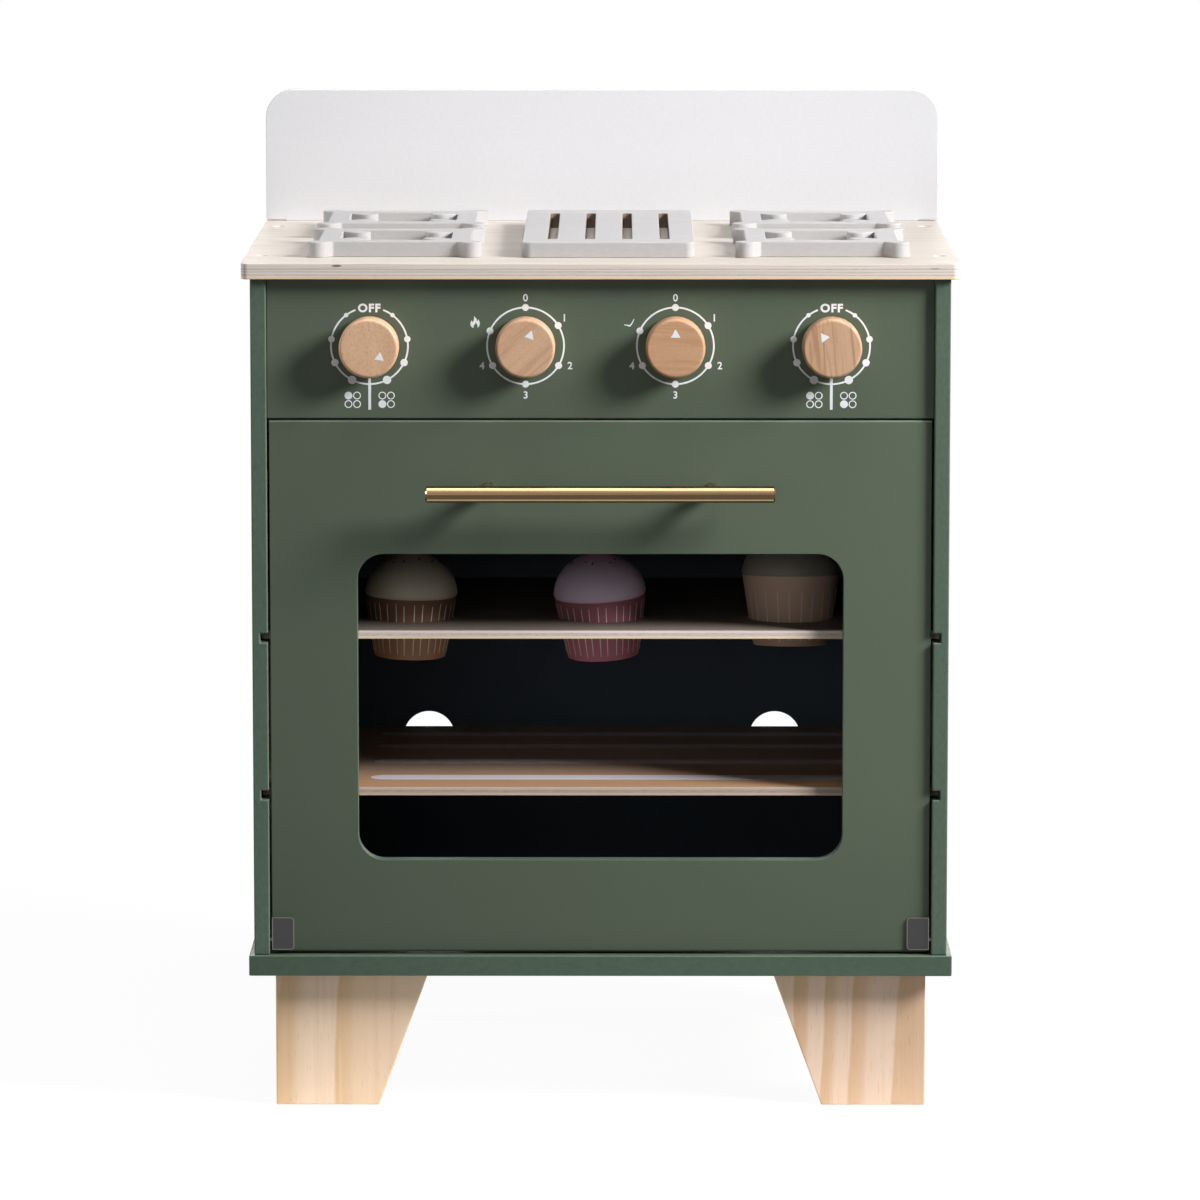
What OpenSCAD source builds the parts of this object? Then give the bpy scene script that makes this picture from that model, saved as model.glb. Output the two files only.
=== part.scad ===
// Toy oven with a hob: plywood counter, painted board body, drop-down door, four knobs,
// two loose shelves and three play cupcakes. The front looks along -Y and the feet stand on z = 0.
// The origin is the middle of the outline on the floor, from the handle to the counter's back edge.

/* [Body] */
// Width over the two side panels
body_w = 400; // [370:1:440]
// Thickness of the painted side, front and door boards
board_t = 9; // [9:0.5:12]
// Height of the side panels
side_h = 392; // [370:1:430]
// Thickness of the base board
base_t = 12; // [10:0.5:18]
// Sideways overhang of the base board
base_over = 3; // [1:0.5:8]
// How far the base board's front edge lies behind the counter's
base_setback = 2; // [0:0.5:3]
// How far the side panels' front edges lie behind the counter's
side_setback = 4; // [3:0.5:8]
// Thickness of the back panel
back_t = 6; // [4:0.5:7]
// How far the back panel lies inside the side panels' rear edges
back_inset = 6; // [4:0.5:9]
// Diameter of the two finger holes in the back panel
back_hole_d = 31.5; // [20:0.5:40]
// Distance between the two finger holes
back_hole_pitch = 213; // [120:1:260]
// Height of the finger holes' middle above the base board
back_hole_rise = 82.5; // [60:0.5:120]

/* [Counter] */
// Depth of the countertop from front edge to back edge
counter_d = 300; // [290:1:340]
// Thickness of the countertop
counter_t = 9; // [8:0.5:15]
// Sideways overhang of the countertop
counter_over = 5; // [3.5:0.5:15]
// Radius of the countertop's two front corners
counter_r = 4; // [2:0.5:16]
// Height of the backsplash above the countertop
splash_h = 80; // [50:1:130]
// Thickness of the backsplash
splash_t = 9; // [8:0.5:12]
// Radius of the backsplash's top corners
splash_r = 17; // [6:1:30]

/* [Hob] */
// Height of the grates and the griddle
hob_t = 9; // [6:0.5:14]
// Outer width of a grate's square ring
ring_w = 88; // [80:1:92]
// Width of the bars of a grate
bar_w = 12; // [8:0.5:14]
// How far each prong's round end lies inside the ring's outer corner, along x and y
prong_in = 22; // [18:0.5:28]
// Width of the griddle plate
griddle_w = 99; // [92:1:104]
// Corner radius of the griddle plate
griddle_r = 5; // [2:0.5:9]
// Width of a griddle slot
slot_w = 5.5; // [3:0.5:8]
// Distance between griddle slots
slot_pitch = 21.6; // [16:0.2:23]
// Solid margin between a slot's end and the griddle's edge
slot_margin = 23; // [12:1:40]
// Gap between the front and the rear grates' lugs
hob_gap_y = 26; // [16:1:30]
// Gap between the griddle and the grates' lugs beside it
hob_gap_x = 23.5; // [15:0.5:26]
// How far the whole hob sits to the right of the middle
hob_shift = 4.5; // [0:0.5:6]

/* [Legs] */
// Height of the legs
leg_h = 79; // [60:1:110]
// Width of a leg where it meets the base board
leg_top_w = 89; // [70:1:110]
// Width of a leg at the floor
leg_foot_w = 60; // [40:1:70]
// Thickness of a leg, front to back
leg_t = 18; // [15:1:27]
// Inset of a leg from the base board's side edge
leg_inset = 14.6; // [6:0.2:30]
// Inset of a leg from the base board's front or back edge
leg_setback = 15; // [6:1:30]

/* [Control panel] */
// Height of the control panel
control_h = 80.5; // [76:0.5:95]
// How far the control panel lies behind the side panels' front edges
control_recess = 4; // [3:0.5:7]
// Diameter of a knob
knob_d = 34; // [30:1:42]
// Thickness of a knob
knob_t = 17; // [14:1:24]
// Rounding of a knob's front edge
knob_round = 1.8; // [0.8:0.2:3]
// Distance of the two inner knobs from the middle
knob_inner_x = 42.8; // [32:0.2:50]
// Distance of the two outer knobs from the side panels
knob_side_in = 59; // [45:1:75]
// Height of the knobs' axes above the control panel's lower edge
knob_rise = 41.8; // [34:0.2:44]
// Diameter of the dowel that a knob turns on
spindle_d = 10; // [8:0.5:14]

/* [Door] */
// Gap between the door and each side panel
door_side_gap = 1.2; // [1:0.1:2]
// Gap between the door and the control panel
door_top_gap = 1; // [0.8:0.1:2]
// Gap between the door and the base board
door_base_gap = 1.3; // [1.2:0.1:2]
// How far the door lies behind the side panels' front edges
door_recess = 3.5; // [2.5:0.5:4]
// Radius of the door's long edges
door_edge_r = 1.5; // [1.2:0.1:2]
// Width of the window
window_w = 279; // [220:1:300]
// Height of the window
window_h = 178; // [120:1:190]
// Height of the window's sill above the door's lower edge
sill_h = 54; // [40:1:70]
// Radius of the window's corners
window_r = 15; // [6:1:30]

/* [Handle] */
// Length of the handle bar
handle_w = 199; // [150:1:240]
// Distance between the handle's two posts
handle_pitch = 128; // [96:1:140]
// Diameter of the handle bar
handle_d = 9.4; // [8:0.2:12]
// Diameter of the handle posts
post_d = 8; // [6:0.2:8]
// Distance from the door's face to the front of the handle bar
handle_reach = 31; // [26:1:40]
// Distance from the door's upper edge down to the handle bar's axis
handle_drop = 39.4; // [25:0.2:48]

/* [Hinges] */
// Width of a hinge clip on the door's face
clip_w = 12.8; // [10:0.2:18]
// Height of a hinge clip
clip_h = 19; // [14:0.5:26]
// Thickness of the hinge clip's sheet steel
clip_t = 1.2; // [1:0.1:1.2]
// Diameter of the pivot pins
pin_d = 3; // [2.5:0.1:4]
// Height of the pivot pins' axis above the door's lower edge
pivot_rise = 6.5; // [6:0.1:7]
// Depth of the pivot pins' axis behind the door's face
pivot_depth = 3.8; // [3.4:0.1:4.2]

/* [Shelves] */
// Thickness of the two plywood shelves
shelf_t = 5; // [4:0.5:6]
// Depth of the shelves, front to back
shelf_d = 225; // [200:1:235]
// Depth of the grooves in the side panels
groove_depth = 4.5; // [3:0.5:5]
// Height of the lower shelf above the base board
lower_shelf_rise = 91; // [60:1:110]
// Height of the upper shelf above the base board
upper_shelf_rise = 182.5; // [160:0.5:210]
// Diameter of the three holes in the upper shelf
cup_hole_d = 50; // [48:0.2:51]
// Distance from the upper shelf's front edge to the middle of its holes
cup_hole_in = 57; // [40:1:90]
// Distance between neighbouring cupcake holes
cup_pitch = 111; // [90:0.5:120]

/* [Cupcakes] */
// Diameter of a small cupcake's wrapper at its foot
cup_foot_d = 41.8; // [38:0.2:44]
// Diameter of a small cupcake's wrapper at its rim
cup_rim_d = 53.4; // [52:0.2:58]
// Height of a small cupcake's wrapper
cup_h = 36; // [32:1:40]
// Diameter of the large cupcake's wrapper at its foot
big_cup_foot_d = 44.2; // [42:0.2:46]
// Diameter of the large cupcake's wrapper at its rim
big_cup_rim_d = 56.8; // [54:0.2:60]
// Height of the large cupcake's wrapper
big_cup_h = 41; // [36:1:46]
// Height of the icing dome on a cupcake
icing_h = 25; // [20:0.5:30]
// Diameter of the berry on a cupcake
berry_d = 19; // [12:1:22]

/* [Hidden] */

$fn = 64;
// Overlap of a cutting tool past the face it cuts
eps = 0.5;
// Room between a screw, dowel or pin and the hole it is fixed in
fixed_fit = 0.05;
// Room left in front of a machine screw's tip
tip_gap = 1;
// Room between a turning part and its bearing, on the radius
running_fit = 0.08;
// Room between a sliding shelf and its groove, above, below and at the side
slide_fit = 0.2;
// Room between a cupcake and the shelf
loose_fit = 0.4;

// Heights
base_z = leg_h;
body_z = base_z + base_t;
counter_z = body_z + side_h;
hob_z = counter_z + counter_t;
control_z = counter_z - control_h;
door_z = body_z + door_base_gap;
door_h = control_z - door_top_gap - door_z;

// Depths, as places on the y axis
door_setback = side_setback + door_recess;
handle_proud = handle_reach - door_setback;
front_y = (handle_proud - counter_d) / 2;
rear_y = front_y + counter_d;
side_y = front_y + side_setback;
base_y = front_y + base_setback;
control_y = side_y + control_recess;
door_y = front_y + door_setback;
door_rear_y = door_y + board_t;
shelf_gap = 2;
shelf_y = door_rear_y + shelf_gap;
back_y = rear_y - back_inset - back_t;
splash_y = rear_y - splash_t;
splash_step_w = 12;
splash_step_h = 0.9;

// Widths
inner_w = body_w - 2 * board_t;
base_w = body_w + 2 * base_over;
counter_w = body_w + 2 * counter_over;
door_w = inner_w - 2 * door_side_gap;
shelf_w = inner_w + 2 * (groove_depth - slide_fit);

// Hob layout
// Round ends of the diagonal bars, a little wider than the bars
lug = bar_w / 2 + 0.1;
grate_w = ring_w + 2 * lug;
griddle_d = 2 * grate_w + hob_gap_y;
grate_x = griddle_w / 2 + hob_gap_x + grate_w / 2;
grate_y = (grate_w + hob_gap_y) / 2;
hob_y = front_y + counter_d / 2;
slot_count = 4;

// Countersunk wood screws
screw_d = 3.5;
screw_head_d = 7;
screw_head_h = 2.4;
edge_screw_len = 30;
edge_x = (body_w - board_t) / 2;
counter_screw_front_in = 52;
counter_screw_rear_in = 48;
counter_screw_sink = 0.8;
counter_screw_y = [front_y + counter_screw_front_in, rear_y - counter_screw_rear_in];
base_screw_in = 40;
base_screw_y = [front_y + base_screw_in, rear_y - base_screw_in];
splash_screw_in = 55;
splash_screw_x = [for (s = [-1, 0, 1]) s * (counter_w / 2 - splash_screw_in)];
leg_screw_bite = 26;
leg_screw_len = base_t + leg_screw_bite;
leg_screw_in = 20;
leg_screw_side = [leg_screw_in, leg_top_w - leg_screw_in];

// Dowels under the hob and at the control panel's ends
dowel_d = 6;
hob_dowel_up = 5;
hob_dowel_down = 5;
panel_dowel_len = 14;
panel_dowel_in = 6;
panel_dowel_edge = 18;
panel_dowel_rise = [panel_dowel_edge, control_h - panel_dowel_edge];

// Handle
handle_y = door_y - handle_reach + handle_d / 2;
handle_z = door_z + door_h - handle_drop;
handle_bevel = 0.8;
post_seat = 2.5;
handle_screw_d = 4;
handle_screw_up = 12;
handle_screw_head_d = 8;
handle_screw_head_h = 2.2;

// Door hinge
pivot_y = door_y + pivot_depth;
pivot_z = door_z + pivot_rise;
clip_rise = 1.4;
clip_r = 2.2;
pad_t = 0.6;
pad_edge = 0.6;
pin_in = 6;
pin_out = 4.8;
pin_chamfer = 0.4;
hinge_screw_d = 2.5;
hinge_screw_len = clip_t + 6;
hinge_screw_head_d = 5;
hinge_screw_head_h = 1.2;
bush_d = 7;
bush_len = 6;

// Door catch behind the control panel
catch_w = 56;
catch_t = 12;
catch_h = 34;
catch_drop = 15;
magnet_d = 10;
magnet_t = 4;
magnet_drop = 8;
strike_d = 12;
strike_t = 1.5;
catch_screw_edge = 8;
catch_screw_x = [catch_screw_edge - catch_w / 2, catch_w / 2 - catch_screw_edge];
catch_screw_rise = 9;
catch_screw_len = catch_t + 6;

// Knobs, from left to right
knob_outer_x = inner_w / 2 - knob_side_in;
knob_x = [-knob_outer_x, -knob_inner_x, knob_inner_x, knob_outer_x];
knob_z = control_z + knob_rise;
knob_gap = 0.4;
knob_chamfer = 0.6;
knob_socket = 10;
// How far a spindle stands out behind the control panel, with play for the washer
spindle_tail = 0.4;
washer_d = 20;
washer_t = 1.6;
knob_screw_len = 14;

// Cupcakes, from left to right
cup_name = ["left", "middle", "right"];
cup_x = [-cup_pitch, 0, cup_pitch];
cup_lean_forward = [0, 3, -5];
cup_lean_right = [1.5, -3.4, 0];
cup_y = shelf_y + cup_hole_in;
lower_shelf_z = body_z + lower_shelf_rise;
upper_shelf_z = body_z + upper_shelf_rise;

// Colours
green = "#515c4c";
pale = "#e8e7ea";
light_grey = "#c5c1bf";
ply = "#d6c9bb";
beech = "#c8a386";
pine = "#e2c8ad";
brass = "#b08d57";
steel = "#9fa1a3";
dark = "#1c2024";

// A flat rectangle from x = -w/2 to w/2 and y = 0 to h with all four corners round
module rounded_flat(w, h, r) {
    translate([-w / 2 + r, 0]) square([w - 2 * r, h]);
    translate([-w / 2, r]) square([w, h - 2 * r]);
    for (sx = [-1, 1], cy = [r, h - r]) translate([sx * (w / 2 - r), cy]) circle(r);
}

// A flat rectangle from x = -w/2 to w/2 and y = 0 to h with its two upper corners round
module dome_flat(w, h, r) {
    translate([-w / 2, 0]) square([w, h - r]);
    translate([-w / 2 + r, 0]) square([w - 2 * r, h]);
    for (sx = [-1, 1]) translate([sx * (w / 2 - r), h - r]) circle(r);
}

// Stands a flat outline up so that its y becomes z, with its back at y + t
module upright(y, t) {
    translate([0, y + t, 0]) rotate([90, 0, 0]) linear_extrude(t) children();
}

// Countersunk screw with its head's face at z = 0, pointing down
module screw(len, d = screw_d, head_d = screw_head_d, head_h = screw_head_h) {
    rotate_extrude() polygon([
        [0, 0], [head_d / 2, 0], [d / 2, -head_h], [d / 2, -len + d], [0, -len]
    ]);
}

// Clearance for a screw whose head lies `sink` below the surface: its countersink and its hole
module screw_hole(len, sink = 0) {
    fit = fixed_fit;
    rotate_extrude() polygon([
        [0, sink + eps], [screw_head_d / 2 + fit, sink + eps], [screw_head_d / 2 + fit, 0],
        [screw_d / 2 + fit, -screw_head_h], [screw_d / 2 + fit, -len - fit], [0, -len - fit]
    ]);
}

// Runs its children at the places of the screws through the countertop into the side panels
module at_counter_screws() {
    for (sx = [-1, 1], y = counter_screw_y) translate([sx * edge_x, y, hob_z - counter_screw_sink]) children();
}

// Runs its children at the places of the screws up through the base into the side panels
module at_base_screws() {
    for (sx = [-1, 1], y = base_screw_y) translate([sx * edge_x, y, base_z]) mirror([0, 0, 1]) children();
}

// Runs its children at the places of the screws down through the base into the legs
module at_leg_screws() {
    for (sx = [-1, 1], front = [true, false], side = leg_screw_side)
        translate([sx * (base_w / 2 - leg_inset - side), leg_mid_y(front), body_z]) children();
}

// Runs its children at the places of the screws up through the countertop into the backsplash
module at_splash_screws() {
    for (x = splash_screw_x) translate([x, splash_y + splash_t / 2, counter_z]) mirror([0, 0, 1]) children();
}

function leg_mid_y(front) = front
    ? base_y + leg_setback + leg_t / 2
    : rear_y - leg_setback - leg_t / 2;

// Runs its children at the centre of each grate, on the counter
module at_grate(front, left) {
    x = left ? -grate_x : grate_x;
    y = front ? -grate_y : grate_y;
    translate([hob_shift + x, hob_y + y, hob_z]) children();
}

// Dowels that hold one grate: two on opposite corners of the ring
module at_grate_dowels() {
    for (s = [-1, 1]) translate([s * (ring_w - bar_w) / 2, s * (ring_w - bar_w) / 2, 0]) children();
}

// Dowels that hold the griddle, between its outer slots and its edge
module at_griddle_dowels() {
    for (s = [-1, 1]) translate([hob_shift, hob_y + s * (griddle_d / 2 - slot_margin / 2), hob_z]) children();
}

// Runs its children at every dowel under the hob
module at_hob_dowels() {
    for (front = [true, false], left = [true, false]) at_grate(front, left) at_grate_dowels() children();
    at_griddle_dowels() children();
}

module hob_dowel_hole() {
    translate([0, 0, -hob_dowel_down - fixed_fit])
        cylinder(h = hob_dowel_down + hob_dowel_up + 2 * fixed_fit, d = dowel_d + 2 * fixed_fit);
}

// Plywood countertop with round front corners
module countertop() {
    color(ply) difference() {
        translate([0, rear_y, counter_z]) rotate([0, 0, 180]) linear_extrude(counter_t)
            dome_flat(counter_w, counter_d, counter_r);
        at_counter_screws() screw_hole(edge_screw_len, counter_screw_sink);
        at_splash_screws() screw_hole(edge_screw_len);
        at_hob_dowels() hob_dowel_hole();
    }
}

// Board that stands on the counter's back edge, with a fine step under its lower corners
module backsplash() {
    color(pale) difference() {
        translate([0, 0, hob_z]) upright(splash_y, splash_t) dome_flat(counter_w, splash_h, splash_r);
        for (sx = [-1, 1]) translate([sx * counter_w / 2, splash_y, hob_z])
            cube([2 * splash_step_w, 2 * (splash_t + eps), 2 * splash_step_h], center = true);
        at_splash_screws() screw_hole(edge_screw_len);
    }
}

// Groove in a side panel's inner face, open at the front edge and stopped behind the shelf
module shelf_groove(z) {
    len = shelf_y + shelf_d + slide_fit - side_y;
    translate([inner_w / 2 - eps, side_y - eps, z - slide_fit])
        cube([groove_depth + eps, len + eps, shelf_t + 2 * slide_fit]);
}

// Dowels between the control panel and the side panels
module at_panel_dowels() {
    for (sx = [-1, 1], rise = panel_dowel_rise)
        translate([sx * (inner_w / 2 + panel_dowel_in), control_y + board_t / 2, control_z + rise])
            rotate([0, -sx * 90, 0]) children();
}

// Right side panel: shelf grooves, back panel groove, hinge bush and dowel holes
module side_panel() {
    difference() {
        translate([inner_w / 2, side_y, body_z]) cube([board_t, rear_y - side_y, side_h]);
        shelf_groove(lower_shelf_z);
        shelf_groove(upper_shelf_z);
        translate([inner_w / 2 - eps, back_y, body_z - eps])
            cube([groove_depth + eps, back_t, side_h + 2 * eps]);
        translate([inner_w / 2 - eps, pivot_y, pivot_z]) rotate([0, 90, 0])
            cylinder(h = bush_len + eps + fixed_fit, d = bush_d + 2 * fixed_fit);
        at_panel_dowels() translate([0, 0, -fixed_fit])
            cylinder(h = panel_dowel_len, d = dowel_d + 2 * fixed_fit);
        at_counter_screws() screw_hole(edge_screw_len);
        at_base_screws() screw_hole(edge_screw_len);
    }
}

module right_side_panel() {
    color(green) side_panel();
}

module left_side_panel() {
    color(green) mirror([1, 0, 0]) side_panel();
}

// Base board under the body, proud of it at the front and sides
module base_board() {
    color(green) difference() {
        translate([-base_w / 2, base_y, base_z]) cube([base_w, rear_y - base_y, base_t]);
        at_base_screws() screw_hole(edge_screw_len);
        at_leg_screws() screw_hole(leg_screw_len);
    }
}

// Fixed board above the door that carries the four knobs
module control_panel() {
    color(green) difference() {
        translate([-inner_w / 2, control_y, control_z]) cube([inner_w, board_t, control_h]);
        for (x = knob_x) translate([x, control_y - eps, knob_z]) rotate([-90, 0, 0])
            cylinder(h = board_t + 2 * eps, d = spindle_d + 2 * running_fit);
        at_panel_dowels() cylinder(h = panel_dowel_len + fixed_fit, d = dowel_d + 2 * fixed_fit);
        at_catch_screws() screw_hole(catch_screw_len);
    }
}

// Dark back panel in the side panels' grooves, with two finger holes
module back_panel() {
    color(dark) difference() {
        translate([-shelf_w / 2, back_y, body_z]) cube([shelf_w, back_t, side_h]);
        for (sx = [-1, 1]) translate([sx * back_hole_pitch / 2, back_y - eps, body_z + back_hole_rise])
            rotate([-90, 0, 0]) cylinder(h = back_t + 2 * eps, d = back_hole_d);
    }
}

// Leg board with an upright outer side and a slanted inner side
module leg(front, left) {
    outer = base_w / 2 - leg_inset;
    color(pine) difference() {
        mirror([left ? 1 : 0, 0, 0]) upright(leg_mid_y(front) - leg_t / 2, leg_t) polygon([
            [outer, 0], [outer, leg_h], [outer - leg_top_w, leg_h], [outer - leg_foot_w, 0]
        ]);
        at_leg_screws() screw_hole(leg_screw_len);
    }
}

// One diagonal bar of a grate, from a lug on the ring's corner to a prong inside
module grate_bar() {
    corner = ring_w / 2;
    len = prong_in * sqrt(2);
    translate([corner, corner]) circle(lug);
    translate([corner - prong_in, corner - prong_in]) circle(lug);
    translate([corner, corner]) rotate(-135) translate([0, -bar_w / 2]) square([len, bar_w]);
}

// Grate: a square ring crossed at its corners by four short diagonal bars
module grate(front, left) {
    color(light_grey) difference() {
        at_grate(front, left) linear_extrude(hob_t) {
            difference() {
                square(ring_w, center = true);
                square(ring_w - 2 * bar_w, center = true);
            }
            for (a = [0:90:270]) rotate(a) grate_bar();
        }
        at_grate(front, left) at_grate_dowels() hob_dowel_hole();
    }
}

// Griddle plate with long slots that run front to back
module griddle() {
    slot_len = griddle_d - 2 * slot_margin;
    color(light_grey) difference() {
        translate([hob_shift, hob_y - griddle_d / 2, hob_z]) linear_extrude(hob_t) difference() {
            rounded_flat(griddle_w, griddle_d, griddle_r);
            for (i = [0:slot_count - 1])
                translate([(i - (slot_count - 1) / 2) * slot_pitch, slot_margin])
                    rounded_flat(slot_w, slot_len, slot_w / 2 - 0.01);
        }
        at_griddle_dowels() hob_dowel_hole();
    }
}

module counter_screws() {
    color(steel) at_counter_screws() screw(edge_screw_len);
}

module base_screws() {
    color(steel) at_base_screws() screw(edge_screw_len);
}

module leg_screws() {
    color(steel) at_leg_screws() screw(leg_screw_len);
}

module splash_screws() {
    color(steel) at_splash_screws() screw(edge_screw_len);
}

module hob_dowels() {
    color(beech) at_hob_dowels() translate([0, 0, -hob_dowel_down])
        cylinder(h = hob_dowel_down + hob_dowel_up, d = dowel_d);
}

module panel_dowels() {
    color(beech) at_panel_dowels() cylinder(h = panel_dowel_len, d = dowel_d);
}

// Nylon bushes in the side panels for the door's pivot pins
module hinge_bushes() {
    color("ivory") for (sx = [-1, 1]) translate([sx * inner_w / 2, pivot_y, pivot_z]) rotate([0, sx * 90, 0])
        difference() {
            cylinder(h = bush_len, d = bush_d);
            translate([0, 0, -eps]) cylinder(h = bush_len, d = pin_d + 2 * running_fit);
        }
}

module at_catch_screws() {
    for (x = catch_screw_x) translate([x, control_y + board_t + catch_t, control_z + catch_screw_rise])
        rotate([-90, 0, 0]) children();
}

// Beech block behind the control panel that the door shuts against
module catch_block() {
    color(beech) difference() {
        translate([-catch_w / 2, control_y + board_t, control_z - catch_drop])
            cube([catch_w, catch_t, catch_h]);
        translate([0, control_y + board_t - eps, control_z - magnet_drop]) rotate([-90, 0, 0])
            cylinder(h = magnet_t + eps + fixed_fit, d = magnet_d + 2 * fixed_fit);
        at_catch_screws() screw_hole(catch_screw_len);
    }
}

module catch_magnet() {
    color(steel) translate([0, control_y + board_t, control_z - magnet_drop]) rotate([-90, 0, 0])
        cylinder(h = magnet_t, d = magnet_d);
}

module catch_screws() {
    color(steel) at_catch_screws() screw(catch_screw_len);
}

// The door's section: a board with its long front edges rounded
module door_section() {
    r = door_edge_r;
    translate([r, 0]) square([board_t - r, door_h]);
    translate([0, r]) square([board_t, door_h - 2 * r]);
    for (z = [r, door_h - r]) translate([r, z]) circle(r);
}

// Places of the hinge screws behind the door
module at_hinge_screws() {
    for (sx = [-1, 1])
        translate([sx * (door_w / 2 - clip_w / 2), door_rear_y + clip_t, door_z + clip_rise + clip_h / 2])
            rotate([-90, 0, 0]) children();
}

// Door board with its window, corner rebates for the hinges and holes for the handle
module door_panel() {
    color(green) difference() {
        translate([-door_w / 2, door_y, door_z]) rotate([90, 0, 90]) linear_extrude(door_w) door_section();
        translate([0, 0, door_z + sill_h]) upright(door_y - eps, board_t + 2 * eps)
            rounded_flat(window_w, window_h, window_r);
        for (sx = [-1, 1]) translate([sx * door_w / 2, 0, 0]) {
            translate([-clip_t, door_y - eps, door_z - eps])
                cube([2 * clip_t, board_t + 2 * eps, clip_rise + clip_h + eps]);
            translate([0, pivot_y, pivot_z]) rotate([0, 90, 0])
                cylinder(h = 2 * (pin_in + fixed_fit), d = pin_d + 2 * fixed_fit, center = true);
        }
        at_handle_screws() translate([0, 0, -eps])
            cylinder(h = board_t + 2 * eps, d = handle_screw_d + 2 * fixed_fit);
        translate([0, door_rear_y - strike_t - fixed_fit, control_z - magnet_drop]) rotate([-90, 0, 0])
            cylinder(h = strike_t + eps, d = strike_d + 2 * fixed_fit);
        at_hinge_screws() mirror([0, 0, 1]) cylinder(h = hinge_screw_len, d = hinge_screw_d + 2 * fixed_fit);
    }
}

// Runs its children at the handle posts, on the door's face and pointing backwards
module at_handle_screws() {
    for (sx = [-1, 1]) translate([sx * handle_pitch / 2, door_y, handle_z]) rotate([-90, 0, 0]) children();
}

// Round brass bar with bevelled ends and a flat drilled seat for each post
module handle_bar() {
    r = handle_d / 2;
    color(brass) difference() {
        translate([-handle_w / 2, handle_y, handle_z]) rotate([0, 90, 0]) rotate_extrude() polygon([
            [0, 0], [r - handle_bevel, 0], [r, handle_bevel],
            [r, handle_w - handle_bevel], [r - handle_bevel, handle_w], [0, handle_w]
        ]);
        at_handle_screws() translate([0, 0, handle_y - door_y + post_seat])
            cylinder(h = handle_d, d = post_d + 2 * fixed_fit);
    }
}

// Two round posts between the door's face and the bar, tapped for the screws
module handle_posts() {
    len = door_y - handle_y - post_seat;
    color(brass) at_handle_screws() difference() {
        translate([0, 0, -len]) cylinder(h = len, d = post_d);
        translate([0, 0, -handle_screw_up])
            cylinder(h = handle_screw_up + eps, d = handle_screw_d + 2 * fixed_fit);
    }
}

// Pan head screws through the door into the posts
module handle_screws() {
    len = board_t + handle_screw_up - tip_gap;
    color(steel) at_handle_screws() {
        translate([0, 0, board_t - len]) cylinder(h = len, d = handle_screw_d);
        translate([0, 0, board_t]) cylinder(h = handle_screw_head_h, d = handle_screw_head_d);
    }
}

// Face plate outline of a hinge clip, square at the door's edge and round inwards
module clip_flat(edge) {
    w = clip_w - 2 * edge;
    h = clip_h - 2 * edge;
    r = clip_r - edge;
    translate([edge, edge]) {
        translate([r, 0]) square([w - r, h]);
        translate([0, r]) square([w, h - 2 * r]);
        for (y = [r, h - r]) translate([r, y]) circle(r);
    }
}

// Sheet steel clip that wraps the door's lower right corner
module hinge_clip() {
    difference() {
        translate([door_w / 2 - clip_w, 0, door_z + clip_rise]) {
            upright(door_y - clip_t, clip_t) clip_flat(0);
            upright(door_rear_y, clip_t) clip_flat(0);
            translate([clip_w - clip_t, door_y - clip_t, 0]) cube([clip_t, board_t + 2 * clip_t, clip_h]);
        }
        translate([door_w / 2, pivot_y, pivot_z]) rotate([0, 90, 0])
            cylinder(h = 4 * clip_t, d = pin_d + 2 * fixed_fit, center = true);
        at_hinge_screws() mirror([0, 0, 1]) translate([0, 0, -eps])
            cylinder(h = clip_t + 2 * eps, d = hinge_screw_d + 2 * fixed_fit);
    }
}

module right_hinge_clip() {
    color(steel) hinge_clip();
}

module left_hinge_clip() {
    color(steel) mirror([1, 0, 0]) hinge_clip();
}

// Grey cover pads on the clips' faces
module hinge_pads() {
    color("#55514f") for (side = [0, 1]) mirror([side, 0, 0])
        translate([door_w / 2 - clip_w, 0, door_z + clip_rise])
            upright(door_y - clip_t - pad_t, pad_t) clip_flat(pad_edge);
}

// Steel pivot pins that the door turns on
module hinge_pins() {
    r = pin_d / 2;
    len = pin_in + door_side_gap + pin_out;
    color(steel) for (sx = [-1, 1])
        translate([sx * (door_w / 2 - pin_in), pivot_y, pivot_z]) rotate([0, sx * 90, 0])
            rotate_extrude() polygon([
                [0, 0], [r, 0], [r, len - pin_chamfer], [r - pin_chamfer, len], [0, len]
            ]);
}

// Small screws that clamp the clips to the back of the door
module hinge_screws() {
    len = hinge_screw_len - tip_gap;
    color(steel) at_hinge_screws() {
        cylinder(h = hinge_screw_head_h, d = hinge_screw_head_d);
        translate([0, 0, -len]) cylinder(h = len, d = hinge_screw_d);
    }
}

module strike_disc() {
    color(steel) translate([0, door_rear_y - strike_t, control_z - magnet_drop]) rotate([-90, 0, 0])
        cylinder(h = strike_t, d = strike_d);
}

// Places a knob's children with z = 0 on the panel's face and z pointing to the front
module at_knob(i) {
    translate([knob_x[i], control_y, knob_z]) rotate([90, 0, 0]) children();
}

// Beech knob with a round front edge, a small chamfer behind and a blind socket
module knob(i) {
    r = knob_d / 2;
    arc = knob_round;
    color(beech) at_knob(i) translate([0, 0, knob_gap]) difference() {
        rotate_extrude($fn = 96) polygon([
            [0, 0], [r - knob_chamfer, 0], [r, knob_chamfer],
            for (a = [0:15:90]) [r - arc + arc * cos(a), knob_t - arc + arc * sin(a)],
            [0, knob_t]
        ]);
        translate([0, 0, -eps]) cylinder(h = knob_socket + eps, d = spindle_d + 2 * fixed_fit);
    }
}

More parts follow.
